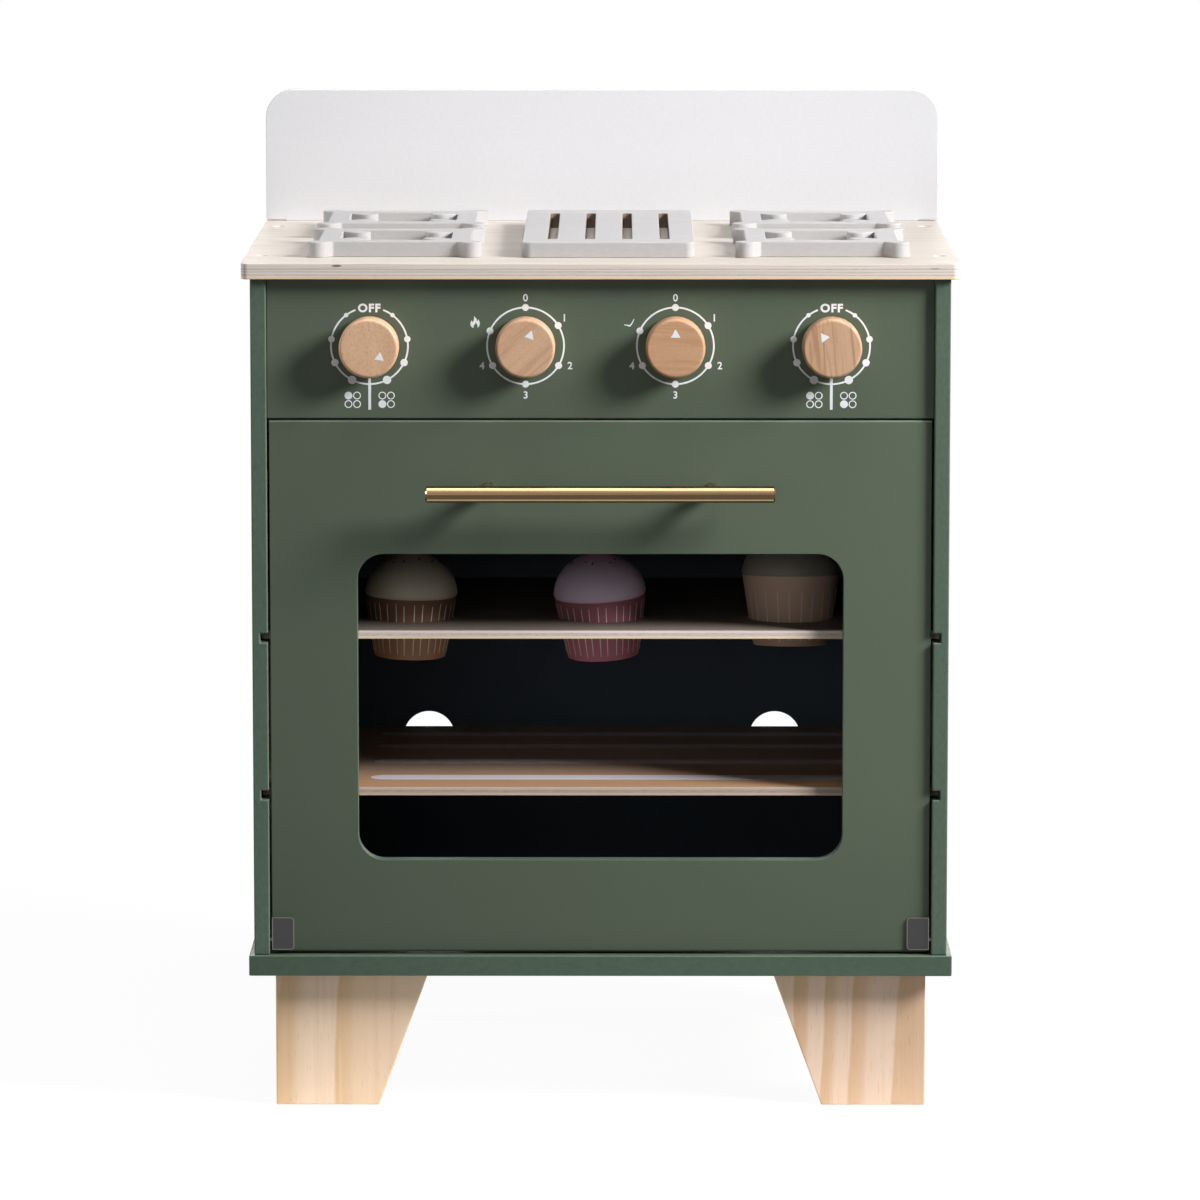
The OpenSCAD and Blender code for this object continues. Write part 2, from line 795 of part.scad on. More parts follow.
// Dowel that a knob turns on, through the control panel
module spindle(i) {
    back = board_t + spindle_tail;
    color(beech) at_knob(i) difference() {
        translate([0, 0, -back]) cylinder(h = back + knob_gap + knob_socket, d = spindle_d);
        at_washer() screw_hole(knob_screw_len);
    }
}

// Places its children on the rear face of a spindle's washer, with the screw pointing to the front
module at_washer() {
    translate([0, 0, -board_t - spindle_tail - washer_t]) mirror([0, 0, 1]) children();
}

// Washer and screw that hold a spindle behind the control panel
module retainer(i) {
    color(steel) at_knob(i) at_washer() {
        difference() {
            translate([0, 0, -washer_t]) cylinder(h = washer_t, d = washer_d);
            screw_hole(knob_screw_len);
        }
        screw(knob_screw_len);
    }
}

// Lower shelf, a plain board that slides in the grooves
module lower_shelf() {
    color(ply) translate([-shelf_w / 2, shelf_y, lower_shelf_z]) cube([shelf_w, shelf_d, shelf_t]);
}

// Upper shelf with three round holes for the cupcakes
module upper_shelf() {
    color(ply) difference() {
        translate([-shelf_w / 2, shelf_y, upper_shelf_z]) cube([shelf_w, shelf_d, shelf_t]);
        for (x = cup_x) translate([x, cup_y, upper_shelf_z - eps])
            cylinder(h = shelf_t + 2 * eps, d = cup_hole_d);
    }
}

function is_big(i) = i == 2;
function foot_d(i) = is_big(i) ? big_cup_foot_d : cup_foot_d;
function rim_d(i) = is_big(i) ? big_cup_rim_d : cup_rim_d;
function wrapper_h(i) = is_big(i) ? big_cup_h : cup_h;
// Taper of a wrapper: the growth of its radius over its height
function taper(i) = (rim_d(i) - foot_d(i)) / 2 / wrapper_h(i);
// Radius of a wrapper where it rests on the rim of its hole
seat_r = cup_hole_d / 2 - loose_fit;

// Places a cupcake's children with z = 0 at its foot, leaning but centred in its hole
module at_cupcake(i) {
    forward = cup_lean_forward[i];
    right = cup_lean_right[i];
    shift = seat_r * taper(i);
    sink = (seat_r - foot_d(i) / 2) / taper(i);
    translate([cup_x[i] - shift * sin(right), cup_y + shift * sin(forward), upper_shelf_z + shelf_t])
        rotate([forward, right, 0]) translate([0, 0, -sink]) children();
}

// Solid wooden wrapper that widens upwards, with a small round foot edge
module wrapper(i) {
    r0 = foot_d(i) / 2;
    r1 = rim_d(i) / 2;
    h = wrapper_h(i);
    color(i == 1 ? "#b5798a" : "#c7a27d") at_cupcake(i) rotate_extrude($fn = 96)
        polygon([[0, 0], [r0 - 1.2, 0], [r0 - 0.3, 0.4], [r0, 1.4], [r1, h], [0, h]]);
}

// Icing: a dome that stands a little proud of the wrapper's rim, flat where the berry sits
module icing(i) {
    r = rim_d(i) / 2 + 0.4;
    flat = berry_d / 2 * 0.6;
    top = asin(flat / r);
    color(i == 1 ? "#cfc5d0" : "#e3d9c4") at_cupcake(i) translate([0, 0, wrapper_h(i)])
        rotate_extrude($fn = 96) polygon([
            [0, 0], [r - 0.8, 0],
            for (a = [4:(90 - top - 4) / 12:90 - top]) [r * cos(a), icing_h * sin(a)],
            [0, icing_h * cos(top)]
        ]);
}

// Berry: a ball cut flat where it is glued to the icing
module berry(i) {
    r = berry_d / 2;
    flat = r * 0.6;
    top = asin(flat / (rim_d(i) / 2 + 0.4));
    color("#c9767c") at_cupcake(i) translate([0, 0, wrapper_h(i) + icing_h * cos(top)])
        rotate_extrude($fn = 64) polygon([
            [0, 0], [flat, 0],
            for (a = [-45:15:90]) [r * cos(a), r * 0.8 + r * sin(a)]
        ]);
}

countertop();
backsplash();
left_side_panel();
right_side_panel();
base_board();
control_panel();
back_panel();
leg(true, true);  // leg_front_left
leg(true, false);  // leg_front_right
leg(false, true);  // leg_rear_left
leg(false, false);  // leg_rear_right
grate(true, true);  // grate_front_left
grate(true, false);  // grate_front_right
grate(false, true);  // grate_rear_left
grate(false, false);  // grate_rear_right
griddle();
counter_screws();
base_screws();
leg_screws();
splash_screws();
hob_dowels();
panel_dowels();
hinge_bushes();
catch_block();
catch_magnet();
catch_screws();
door_panel();
handle_bar();
handle_posts();
handle_screws();
left_hinge_clip();
right_hinge_clip();
hinge_pads();
hinge_pins();
hinge_screws();
strike_disc();
for (i = [0:3]) {
    knob(i);
    spindle(i);
    retainer(i);
}
upper_shelf();
lower_shelf();
for (i = [0:2]) {
    wrapper(i);
    icing(i);
    berry(i);
}
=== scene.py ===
import math
import random
from collections import namedtuple

import bmesh
import bpy
from mathutils import Euler, Matrix, Vector


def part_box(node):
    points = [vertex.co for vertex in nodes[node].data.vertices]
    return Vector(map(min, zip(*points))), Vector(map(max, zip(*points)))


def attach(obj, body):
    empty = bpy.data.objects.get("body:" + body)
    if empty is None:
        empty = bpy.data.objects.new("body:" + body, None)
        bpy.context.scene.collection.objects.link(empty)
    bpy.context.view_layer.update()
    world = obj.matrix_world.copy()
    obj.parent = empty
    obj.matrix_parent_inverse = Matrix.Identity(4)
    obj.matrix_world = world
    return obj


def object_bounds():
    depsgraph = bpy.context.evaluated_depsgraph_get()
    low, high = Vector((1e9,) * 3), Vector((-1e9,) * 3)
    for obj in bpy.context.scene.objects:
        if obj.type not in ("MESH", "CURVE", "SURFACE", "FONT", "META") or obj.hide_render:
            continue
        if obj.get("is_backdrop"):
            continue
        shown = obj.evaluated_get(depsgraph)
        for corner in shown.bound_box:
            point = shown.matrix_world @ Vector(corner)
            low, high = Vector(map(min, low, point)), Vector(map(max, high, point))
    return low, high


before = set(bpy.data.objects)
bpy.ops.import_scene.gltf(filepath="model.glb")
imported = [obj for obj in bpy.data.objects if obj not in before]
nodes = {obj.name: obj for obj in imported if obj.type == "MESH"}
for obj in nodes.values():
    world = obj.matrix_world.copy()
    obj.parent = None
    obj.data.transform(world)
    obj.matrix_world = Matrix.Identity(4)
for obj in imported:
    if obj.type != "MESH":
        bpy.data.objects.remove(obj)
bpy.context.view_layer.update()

scene = bpy.context.scene
MM = 0.001
MICRON = 0.000001
X, Y, Z = 0, 1, 2
KNOBS = (1, 2, 3, 4)


# Materials

def put(tree, node, key, value):
    """Sets a node's input to a value, or links another node's output to it."""
    if isinstance(value, bpy.types.NodeSocket):
        tree.links.new(value, node.inputs[key])
    else:
        node.inputs[key].default_value = value


def add_node(tree, kind, inputs, **settings):
    node = tree.nodes.new(kind)
    for key, value in settings.items():
        setattr(node, key, value)
    for key, value in inputs.items():
        put(tree, node, key, value)
    return node


class Finish:
    """A material's node tree, with short calls for the nodes that the finishes share."""

    MIX_FACTOR, MIX_A, MIX_B, MIX_RESULT = 0, 6, 7, 2    # a Mix node's sockets for colours

    def __init__(self, name, **shader):
        self.material = bpy.data.materials.new(name)
        self.material.use_nodes = True
        self.tree = self.material.node_tree
        self.tree.nodes.clear()
        self.shader = self.add("ShaderNodeBsdfPrincipled", {
            key.replace("_", " "): value for key, value in shader.items()})
        self.add("ShaderNodeOutputMaterial", {"Surface": self.shader.outputs[0]})
        coord = self.add("ShaderNodeTexCoord", {})
        self.place = coord.outputs["Object"]
        self.normal = coord.outputs["Normal"]

    def add(self, kind, inputs, **settings):
        return add_node(self.tree, kind, inputs, **settings)

    def stretch(self, scale, shift=(0, 0, 0), turn=(0, 0, 0)):
        """Coordinates turned and shifted, then stretched along the axes."""
        turned = self.add("ShaderNodeMapping", {
            "Vector": self.place, "Location": shift, "Rotation": turn})
        return self.add("ShaderNodeMapping", {
            "Vector": turned.outputs[0], "Scale": scale}).outputs[0]

    def noise(self, vector, scale=1.0, detail=2.0, rough=0.5, bend=0.0):
        return self.add("ShaderNodeTexNoise", {
            "Vector": vector, "Scale": scale, "Detail": detail, "Roughness": rough,
            "Distortion": bend}).outputs[0]

    def ramp(self, fac, stops, kind="LINEAR"):
        """Greys or colours between stops, each a place from 0 to 1 and what it has there."""
        node = self.add("ShaderNodeValToRGB", {"Fac": fac})
        band = node.color_ramp
        band.interpolation = kind
        while len(band.elements) < len(stops):
            band.elements.new(1.0)
        for element, (at, colour) in zip(band.elements, stops):
            element.position = at
            if not hasattr(colour, "__len__"):
                colour = (colour, colour, colour)
            element.color = (*colour, 1.0)
        return node.outputs[0]

    def level(self, fac, low, high, to_low=0.0, to_high=1.0, smooth=True):
        """`to_low` where fac is below `low`, `to_high` above `high`, and a slope between."""
        return self.add("ShaderNodeMapRange", {
            "Value": fac, "From Min": low, "From Max": high, "To Min": to_low, "To Max": to_high},
            interpolation_type="SMOOTHSTEP" if smooth else "LINEAR").outputs[0]

    def math(self, kind, a, b=0.0):
        return self.add("ShaderNodeMath", {0: a, 1: b}, operation=kind).outputs[0]

    def part(self, vector, axis):
        return self.add("ShaderNodeSeparateXYZ", {0: vector}).outputs[axis]

    def facing(self, axis):
        """1 where the surface faces along the axis, either way, and 0 where it doesn't."""
        return self.level(self.math("ABSOLUTE", self.part(self.normal, axis)), 0.55, 0.8)

    def mix(self, fac, a, b):
        node = self.add("ShaderNodeMix", {}, data_type="RGBA", blend_type="MIX")
        for socket, value in ((self.MIX_FACTOR, fac), (self.MIX_A, a), (self.MIX_B, b)):
            if hasattr(value, "__len__") and len(value) == 3:
                value = (*value, 1.0)
            put(self.tree, node, socket, value)
        return node.outputs[self.MIX_RESULT]

    def painted_light_gradient(self, tone, across, low=0.0, high=0.001, foot=1.0):
        """The tone made lighter towards +X by `across` a metre, and `foot` times as light below
        the height `low` as above `high`: a painted gradient of light and shade."""
        grow = self.math("MULTIPLY", self.part(self.place, X), across)
        grow = self.math("ADD", 1.0, grow)
        rise = self.level(self.part(self.place, Z), low, high, foot, 1.0)
        return self.add("ShaderNodeVectorMath", {
            0: tone, "Scale": self.math("MULTIPLY", grow, rise)}, operation="SCALE").outputs[0]

    def bump(self, height, distance, strength=1.0, under=None):
        """A normal that `height` roughens by `distance` metres, over the normal `under`."""
        inputs = {"Height": height, "Distance": distance, "Strength": strength}
        if under is not None:
            inputs["Normal"] = under
        return self.add("ShaderNodeBump", inputs).outputs[0]

    def done(self, colour, roughness, normal):
        for key, value in (("Base Color", colour), ("Roughness", roughness), ("Normal", normal)):
            put(self.tree, self.shader, key, value)
        return self.material


def shade(colour, factor):
    """The colour times one factor, or times one for each channel."""
    factors = factor if hasattr(factor, "__len__") else (factor,) * 3
    return tuple(min(1.0, c * k) for c, k in zip(colour, factors))


SLOT_MARGIN = 2 * MM     # walls nearer than this to a plate's box aren't in its slots
# A dark brown on the inner walls of a plate's slots: painted shade
SLOT_SHADE_BROWN = (0.20, 0.15, 0.115)


def paint(name, colour, rough=0.45, face=None, fibre=0.0, patch=0.018, cut=None, slots=None,
          arris_highlight=None, painted_light_gradient=None, rear=None):
    """Sprayed satin paint, whose tone wanders by `patch`. On the cut edges, which don't face
    along the axis `face`, it has the colour `cut`, and the board's fibres show through by
    `fibre`. `slots` is the box in plan whose slots' inner walls take a dark brown: painted
    shade. `arris_highlight` is a lighter colour painted on the rounded edges: a painted
    highlight.
    `painted_light_gradient` is what Finish.drift takes, a painted gradient of light and shade,
    and `rear` is the colour of what faces back."""
    f = Finish(name, IOR=1.45, Specular_IOR_Level=0.2)
    broad = f.noise(f.place, 7.0, 3.0)
    tone = f.ramp(broad, [(0.3, shade(colour, 1 - patch)), (0.7, shade(colour, 1 + patch))])
    fine = f.noise(f.place, 420.0, 2.0)
    tone = f.mix(f.level(fine, 0.3, 0.75, 0.0, 0.35), tone, shade(colour, 0.93))
    rough = f.level(f.noise(f.place, 60.0, 4.0), 0.25, 0.75, rough - 0.04, rough + 0.06)
    bump = f.bump(f.noise(f.place, 620.0, 1.5), 20 * MICRON)
    if face is not None:
        edge = f.math("SUBTRACT", 1.0, f.facing(face))
        scale = [260.0, 260.0, 260.0]
        scale[face] = 520.0
        strands = f.noise(f.stretch(scale), 1.0, 4.0, 0.65)
        cut = cut or colour
        tone = f.mix(edge, tone, cut)
        worn = f.ramp(strands, [(0.3, shade(cut, 0.84)), (0.5, cut), (0.72, shade(cut, 1.16))])
        tone = f.mix(f.math("MULTIPLY", edge, fibre), tone, worn)
        rough = f.math("ADD", rough, f.math("MULTIPLY", edge, 0.12))
        bump = f.bump(f.math("MULTIPLY", strands, edge), 70 * MICRON, 0.6, bump)
    # Painted shade: the inner walls of the slots take a dark brown.
    if slots:
        low, high = slots
        inside = f.math("SUBTRACT", 1.0, f.facing(Z))
        for axis in (X, Y):
            centre, reach = (low[axis] + high[axis]) / 2, (high[axis] - low[axis]) / 2
            off = f.math("ABSOLUTE", f.math("SUBTRACT", f.part(f.place, axis), centre))
            near = f.math("LESS_THAN", off, reach - SLOT_MARGIN)
            inside = f.math("MULTIPLY", inside, near)
        bare = f.ramp(strands, [(0.3, shade(SLOT_SHADE_BROWN, 0.85)), (0.7, shade(SLOT_SHADE_BROWN, 1.15))])
        tone = f.mix(inside, tone, bare)
    # Painted highlight: the rounded edges, where the normal leans between the axes, take a
    # lighter colour.
    if arris_highlight:
        sizes = [f.math("ABSOLUTE", f.part(f.normal, axis)) for axis in (X, Y, Z)]
        most = f.math("MAXIMUM", f.math("MAXIMUM", sizes[X], sizes[Y]), sizes[Z])
        tone = f.mix(f.level(most, 0.8, 0.96, 0.8, 0.0), tone, arris_highlight)
    # Painted light and shade: the tone changes across and up the piece.
    if painted_light_gradient:
        tone = f.painted_light_gradient(tone, *painted_light_gradient)
    if rear:
        rear_tone = f.mix(f.level(fine, 0.3, 0.75), rear, shade(rear, 0.9))
        tone = f.mix(f.level(f.part(f.normal, Y), 0.3, 0.6), tone, rear_tone)
    return f.done(tone, rough, bump)


KNOT_BROWN = (0.14, 0.07, 0.04)
# A shelf's rear colour is painted light.
REAR_FROM, REAR_TO = -0.09, -0.01     # where a shelf's faces take their rear colour, along Y


def plywood(name, base, thick, layers, faces, edges, seed, knots=(), specular=0.25,
            rear=None, across=0.0):
    """Thin boards glued in layers, `thick` in all from the height `base` up. The faces have long
    grain, and the edges stripes of long grain, 1 in `layers`, and end grain, 0. `faces` and
    `edges` are a pale and a dark colour each. `rear` is a paler colour that the faces take
    towards
    the back: painted light. They get lighter towards +X by `across` a metre: painted light and
    shade. A knot is its place and its half sizes."""
    pale, dark = faces
    edge_pale, edge_dark = edges
    f = Finish(name, IOR=1.45, Specular_IOR_Level=specular)
    shift = (seed * 1.37, seed * 0.61, 0)
    broad = f.noise(f.stretch((2.2, 16, 16), shift), 1.0, 3.0, 0.5, 0.4)
    streak = f.noise(f.stretch((7, 150, 150), shift), 1.0, 5.0, 0.62, 0.3)
    pore = f.noise(f.stretch((60, 1100, 1100), shift), 1.0, 2.0)
    face = f.ramp(broad, [(0.3, pale), (0.72, shade(dark, 1.06))])
    face = f.mix(f.level(streak, 0.45, 0.72, 0.0, 0.55), face, dark)
    face = f.mix(f.level(streak, 0.2, 0.42, 0.5, 0.0), face, shade(pale, 1.1))
    face = f.mix(f.level(pore, 0.62, 0.72, 0.0, 0.4), face, shade(dark, 0.72))
    # Painted light: the faces turn towards the rear colour at the back.
    if rear:
        back = f.level(f.part(f.place, Y), REAR_FROM, REAR_TO, 0.0, 0.8)
        face = f.mix(back, face, rear)
    # Painted light and shade: the faces change in tone along X.
    if across:
        face = f.painted_light_gradient(face, across)
    height = f.math("DIVIDE", f.math("SUBTRACT", f.part(f.place, Z), base), thick)
    # A warm, paler stripe along the bottom of the edges
    warm_bottom_line = f.ramp(height, [(0.0, 1.0), (0.10, 1.0), (0.15, 0.0)])
    wave = f.noise(f.stretch((9, 9, 60), shift), 1.0, 2.0)
    sway = f.math("MULTIPLY", f.math("SUBTRACT", wave, 0.5), 0.05)
    is_long = f.ramp(f.math("ADD", height, sway), layers, "CONSTANT")
    line = f.noise(f.stretch((14, 14, 1800), shift), 1.0, 4.0, 0.7)
    end = f.noise(f.stretch((240, 240, 1500), shift), 1.0, 3.0, 0.6)
    long_grain = f.ramp(line, [
        (0.3, shade(edge_pale, 0.72)), (0.45, edge_pale), (0.68, shade(edge_pale, 1.1))])
    end_grain = f.ramp(end, [
        (0.28, shade(edge_dark, 0.8)), (0.48, edge_dark), (0.72, shade(edge_dark, 1.14))])
    side = f.mix(is_long, end_grain, long_grain)
    side = f.mix(f.math("MULTIPLY", warm_bottom_line, 0.85), side, shade(edge_pale, (1.28, 1.02, 0.62)))
    tone = f.mix(f.facing(Z), side, face)
    for (x, y, z), (rx, ry, rz) in knots:
        near = f.add("ShaderNodeMapping", {
            "Vector": f.place, "Location": (-x / rx, -y / ry, -z / rz),
            "Scale": (1 / rx, 1 / ry, 1 / rz)})
        reach = f.add("ShaderNodeVectorMath", {0: near.outputs[0]}, operation="LENGTH")
        tone = f.mix(f.level(reach.outputs["Value"], 0.45, 1.05, 0.85, 0.0), tone, KNOT_BROWN)
    bump = f.bump(streak, 50 * MICRON, 0.5, f.bump(pore, 30 * MICRON, 0.5))
    return f.done(tone, f.level(streak, 0.2, 0.8, 0.44, 0.6), bump)


PINE_PALE, PINE_LATE = (0.78, 0.605, 0.455), (0.625, 0.415, 0.24)
PINE_END_DARK, PINE_END_PALE = (0.46, 0.31, 0.19), (0.66, 0.48, 0.31)


def pine(name, seed, rings, lift):
    """Planed softwood with upright grain, `lift` times as light. `rings` gives how dark the
    growth rings are at places along X, in mm. They sway, and lean with the height."""
    f = Finish(name, IOR=1.45, Specular_IOR_Level=0.25)
    shift = (seed * 0.173, seed * 0.071, seed * 0.31)
    wave = f.noise(f.stretch((9, 9, 14), shift), 1.0, 2.0)
    sway = f.math("MULTIPLY", f.math("SUBTRACT", wave, 0.5), 0.009)
    lean = f.math("MULTIPLY", f.math("SUBTRACT", f.part(f.place, Z), 0.05), 0.06)
    across = f.math("SUBTRACT", f.part(f.place, X), f.math("ADD", sway, lean))
    low, high = rings[0][0] * MM, rings[-1][0] * MM
    late_wood = f.ramp(f.level(across, low, high, smooth=False),
                       [((x * MM - low) / (high - low), dark) for x, dark in rings])
    pale, late = shade(PINE_PALE, lift), shade(PINE_LATE, lift)
    tone = f.mix(late_wood, pale, late)
    streak = f.noise(f.stretch((300, 300, 4), shift), 1.0, 4.0, 0.62)
    tone = f.mix(f.level(streak, 0.45, 0.75, 0.0, 0.35), tone, shade(late, 0.95))
    tone = f.mix(f.level(streak, 0.2, 0.44, 0.35, 0.0), tone, shade(pale, 1.08))
    dash = f.noise(f.stretch((1500, 1500, 110), shift), 1.0, 2.0, 0.5)
    tone = f.mix(f.level(dash, 0.64, 0.72, 0.0, 0.38), tone, shade(late, 0.66))
    ends = f.noise(f.stretch((160, 60, 4), shift), 1.0, 3.0, 0.6)
    ends = f.ramp(ends, [(0.35, PINE_END_DARK), (0.6, PINE_END_PALE)])
    tone = f.mix(f.facing(Z), tone, ends)
    bump = f.bump(streak, 70 * MICRON, 0.5, f.bump(dash, 40 * MICRON, 0.4))
    return f.done(tone, f.level(streak, 0.2, 0.8, 0.48, 0.62), bump)


BEECH_PALE, BEECH_DARK = (0.63, 0.405, 0.262), (0.56, 0.34, 0.21)
BEECH_LINE, BEECH_GLINT = (0.40, 0.215, 0.125), (0.70, 0.48, 0.33)
BEECH_FLECK = (0.42, 0.235, 0.14)


def beech(name, seed, turn=0.0, strong=0.5, speckle=0.5, lift=1.0):
    """Turned hardwood, `lift` times as light. Seen from the front the grain runs at `turn`
    radians from upright. `strong` is how much its lines show, and `speckle` its flecks."""
    f = Finish(name, IOR=1.47, Specular_IOR_Level=0.3)
    shift = (seed * 0.37, 0, seed * 0.19)
    turned = (0, turn, 0)
    line = f.noise(f.stretch((330, 120, 14), shift, turned), 1.0, 3.0, 0.6, 0.8)
    fleck = f.noise(f.stretch((1500, 1500, 700), shift, turned), 1.0, 3.0, 0.7)
    broad = f.noise(f.stretch((60, 40, 22), shift, turned), 1.0, 2.0)
    tone = f.ramp(broad, [(0.3, shade(BEECH_PALE, lift)), (0.7, shade(BEECH_DARK, lift))])
    tone = f.mix(f.level(line, 0.48, 0.66, 0.0, strong), tone, BEECH_LINE)
    tone = f.mix(f.level(line, 0.28, 0.46, strong * 0.7, 0.0), tone, BEECH_GLINT)
    tone = f.mix(f.level(fleck, 0.5, 0.7, 0.0, speckle), tone, BEECH_FLECK)
    bump = f.bump(line, 40 * MICRON, 0.5, f.bump(fleck, 30 * MICRON, 0.4))
    return f.done(tone, f.level(fleck, 0.2, 0.8, 0.4, 0.52), bump)


# How much painted reflection darkens a bar along X, from where it faces down, 0, to where it
# faces up, 1: dark bands, with a pale line between them near the bottom.
BAR_PAINTED_REFLECTION = [(0.03, 1.0), (0.09, 0.9), (0.13, 0.05), (0.21, 0.05), (0.26, 1.0), (0.5, 1.0),
             (0.57, 0.8), (0.64, 0.6), (0.71, 0.15), (0.76, 0.0), (0.97, 0.0), (1.0, 0.5)]


def metal(name, colour, rough, grain, worn=0.1, around=0.0, spread=0.06, bare=1.0):
    """Metal with fine lines, which `grain` stretches. `worn` is how much its tone changes from
    line to line, and `spread` its roughness. `around` is how far a bar along X is brushed round
    itself, and such a bar gets painted reflection: dark bands by how it faces up or down. `bare`
    is below 1 under a dull plating."""
    f = Finish(name, Metallic=bare)
    if around:
        tangent = f.add("ShaderNodeTangent", {}, direction_type="RADIAL", axis="X").outputs[0]
        for key, value in (("Anisotropic", around), ("Anisotropic Rotation", 0.25),
                           ("Tangent", tangent)):
            put(f.tree, f.shader, key, value)
    line = f.noise(f.stretch(grain), 1.0, 3.0, 0.6)
    cloud = f.noise(f.place, 55.0, 3.0)
    tone = f.ramp(line, [(0.3, shade(colour, 1 - worn)), (0.7, shade(colour, 1 + worn * 0.5))])
    tone = f.mix(f.level(cloud, 0.4, 0.8, 0.0, 0.25), tone, shade(colour, 0.82))
    # Painted reflection: dark bands on the bar by how it faces up or down.
    if around:
        up = f.level(f.part(f.normal, Z), -1.0, 1.0, smooth=False)
        dark = f.math("MULTIPLY", f.ramp(up, BAR_PAINTED_REFLECTION), 0.87)
        tone = f.mix(dark, tone, shade(colour, 0.1))
    rough = f.level(line, 0.25, 0.75, rough - spread, rough + spread)
    return f.done(tone, rough, f.bump(line, 4 * MICRON, 0.4))


def moulded(name, colour, rough=0.5, mottle=0.06, scale=240.0):
    """Plastic, rubber or ink with a fine texture."""
    f = Finish(name)
    fine = f.noise(f.place, scale, 3.0)
    tone = f.ramp(fine, [(0.3, shade(colour, 1 - mottle)), (0.7, shade(colour, 1 + mottle))])
    rough = f.level(fine, 0.2, 0.8, rough - 0.05, rough + 0.05)
    return f.done(tone, rough, f.bump(fine, 40 * MICRON, 0.4))


GREEN = (0.104, 0.134, 0.094)
GREEN_EDGE = (0.098, 0.144, 0.106)
BASE_EDGE = (0.072, 0.110, 0.077)
# A lighter green painted on the rounded edges: a painted highlight
GREEN_ARRIS_HIGHLIGHT = (0.165, 0.215, 0.165)
GREY = (0.49, 0.478, 0.482)
# The grey paint is a little darker on the sides than on the tops: painted shade.
GREY_EDGE = (0.465, 0.455, 0.455)


def green(name, face, fibre=0.7, cut=GREEN_EDGE, painted_light_gradient=None):
    return paint(f"green_paint_{name}", GREEN, 0.42, face=face, fibre=fibre, cut=cut,
                 arris_highlight=GREEN_ARRIS_HIGHLIGHT, painted_light_gradient=painted_light_gradient)


green_panel = green("panel", Y)
# The door is painted darker towards the left and the bottom: painted shade.
green_door = green("door", Y, painted_light_gradient=(0.6, 0.10, 0.20, 0.82))
green_side = green("side", X, fibre=0.8)
# The base board is painted lighter towards +X: painted light.
green_flat = green("flat", Z, fibre=0.6, cut=BASE_EDGE, painted_light_gradient=(0.35,))
# The splash is painted lighter towards -X and a little darker at its foot: painted light and
# shade.
white_paint = paint("white_paint", (0.695, 0.69, 0.71), 0.38, face=Y, fibre=0.3, patch=0.006,
                    painted_light_gradient=(-0.28, 0.492, 0.54, 0.95))
grey_paint = paint("grey_paint", GREY, 0.5, face=Z, fibre=0.25, patch=0.012, cut=GREY_EDGE)
griddle_paint = paint("griddle_paint", GREY, 0.5, face=Z, fibre=0.25, patch=0.012,
                      cut=GREY_EDGE, slots=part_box("griddle"))
# Inside, the back board is near black above 0.31 m and 3.8 times as light below 0.22 m: painted
# shade. Its rear face has the board's own colour.
back_paint = paint("back_board_paint", (0.026, 0.033, 0.045), 0.6, face=Y, fibre=0.5, patch=0.08,
                   painted_light_gradient=(0, 0.22, 0.31, 3.8), rear=(0.11, 0.13, 0.16))
print_ink = moulded("printed_ink", (0.94, 0.96, 1.0), 0.5, 0.02, 500.0)
shelf_ink = moulded("shelf_ink", (0.66, 0.63, 0.69), 0.5, 0.03, 300.0)
# Paler ink on the shelf's rear bars than on its front one: painted light, where they lie in
# shade.
rear_bar_ink = moulded("rear_shelf_bar_ink", (0.85, 0.76, 0.76), 0.5, 0.06, 300.0)
pleat_ink = moulded("pleat_ink", (0.97, 0.91, 0.87), 0.5, 0.03, 500.0)
sprinkle_ink = moulded("sprinkle_ink", (0.10, 0.05, 0.06), 0.45, 0.1, 500.0)
# The wrappers change tone at the shelf's height: painted light below it on the tan and pink ones,
# painted shade below it on the sand one. The sand one's pale colour is partly painted light.
tan_paint = paint("tan_wrapper_paint", (0.205, 0.112, 0.068), patch=0.05,
                  painted_light_gradient=(0, 0.268, 0.285, 2.3))
sand_paint = paint("sand_wrapper_paint", (0.86, 0.60, 0.45), patch=0.05,
                   painted_light_gradient=(0, 0.264, 0.288, 0.65))
pink_paint = paint("pink_wrapper_paint", (0.43, 0.162, 0.21), patch=0.05,
                   painted_light_gradient=(0, 0.268, 0.285, 1.35))
# The cream and lilac icings are painted lighter at their foot: painted light.
cream_paint = paint("cream_icing_paint", (0.515, 0.452, 0.357), 0.42, patch=0.03,
                    painted_light_gradient=(0, 0.293, 0.312, 1.5))
# The right icing is a browner cream, made darker in part as painted shade.
oat_paint = paint("oat_icing_paint", (0.40, 0.36, 0.30), 0.42, patch=0.03)
lilac_paint = paint("lilac_icing_paint", (0.74, 0.59, 0.74), 0.42, patch=0.03,
                    painted_light_gradient=(0, 0.293, 0.312, 1.33))
berry_pink = paint("berry_paint_pink", (0.50, 0.16, 0.20), 0.35, patch=0.06)
berry_warm = paint("berry_paint_warm", (0.56, 0.30, 0.22), 0.35, patch=0.06)
brass = metal("brass", (0.475, 0.32, 0.175), 0.15, (3600, 40, 40), 0.03, around=0.15,
              spread=0.02)
post_brass = metal("post_brass", (0.37, 0.30, 0.185), 0.27, (400, 400, 400))
steel = metal("steel", (0.18, 0.172, 0.155), 0.34, (700, 700, 700), 0.2)
zinc = metal("zinc_plated_steel", (0.24, 0.232, 0.22), 0.42, (900, 900, 900), 0.25, bare=0.35)
magnet = metal("nickel_plated_magnet", (0.62, 0.60, 0.56), 0.22, (500, 500, 500))
pad = moulded("dark_pad", (0.027, 0.026, 0.026), 0.55, 0.12, 420.0)
nylon = moulded("nylon", (0.70, 0.68, 0.60), 0.42, 0.03, 300.0)
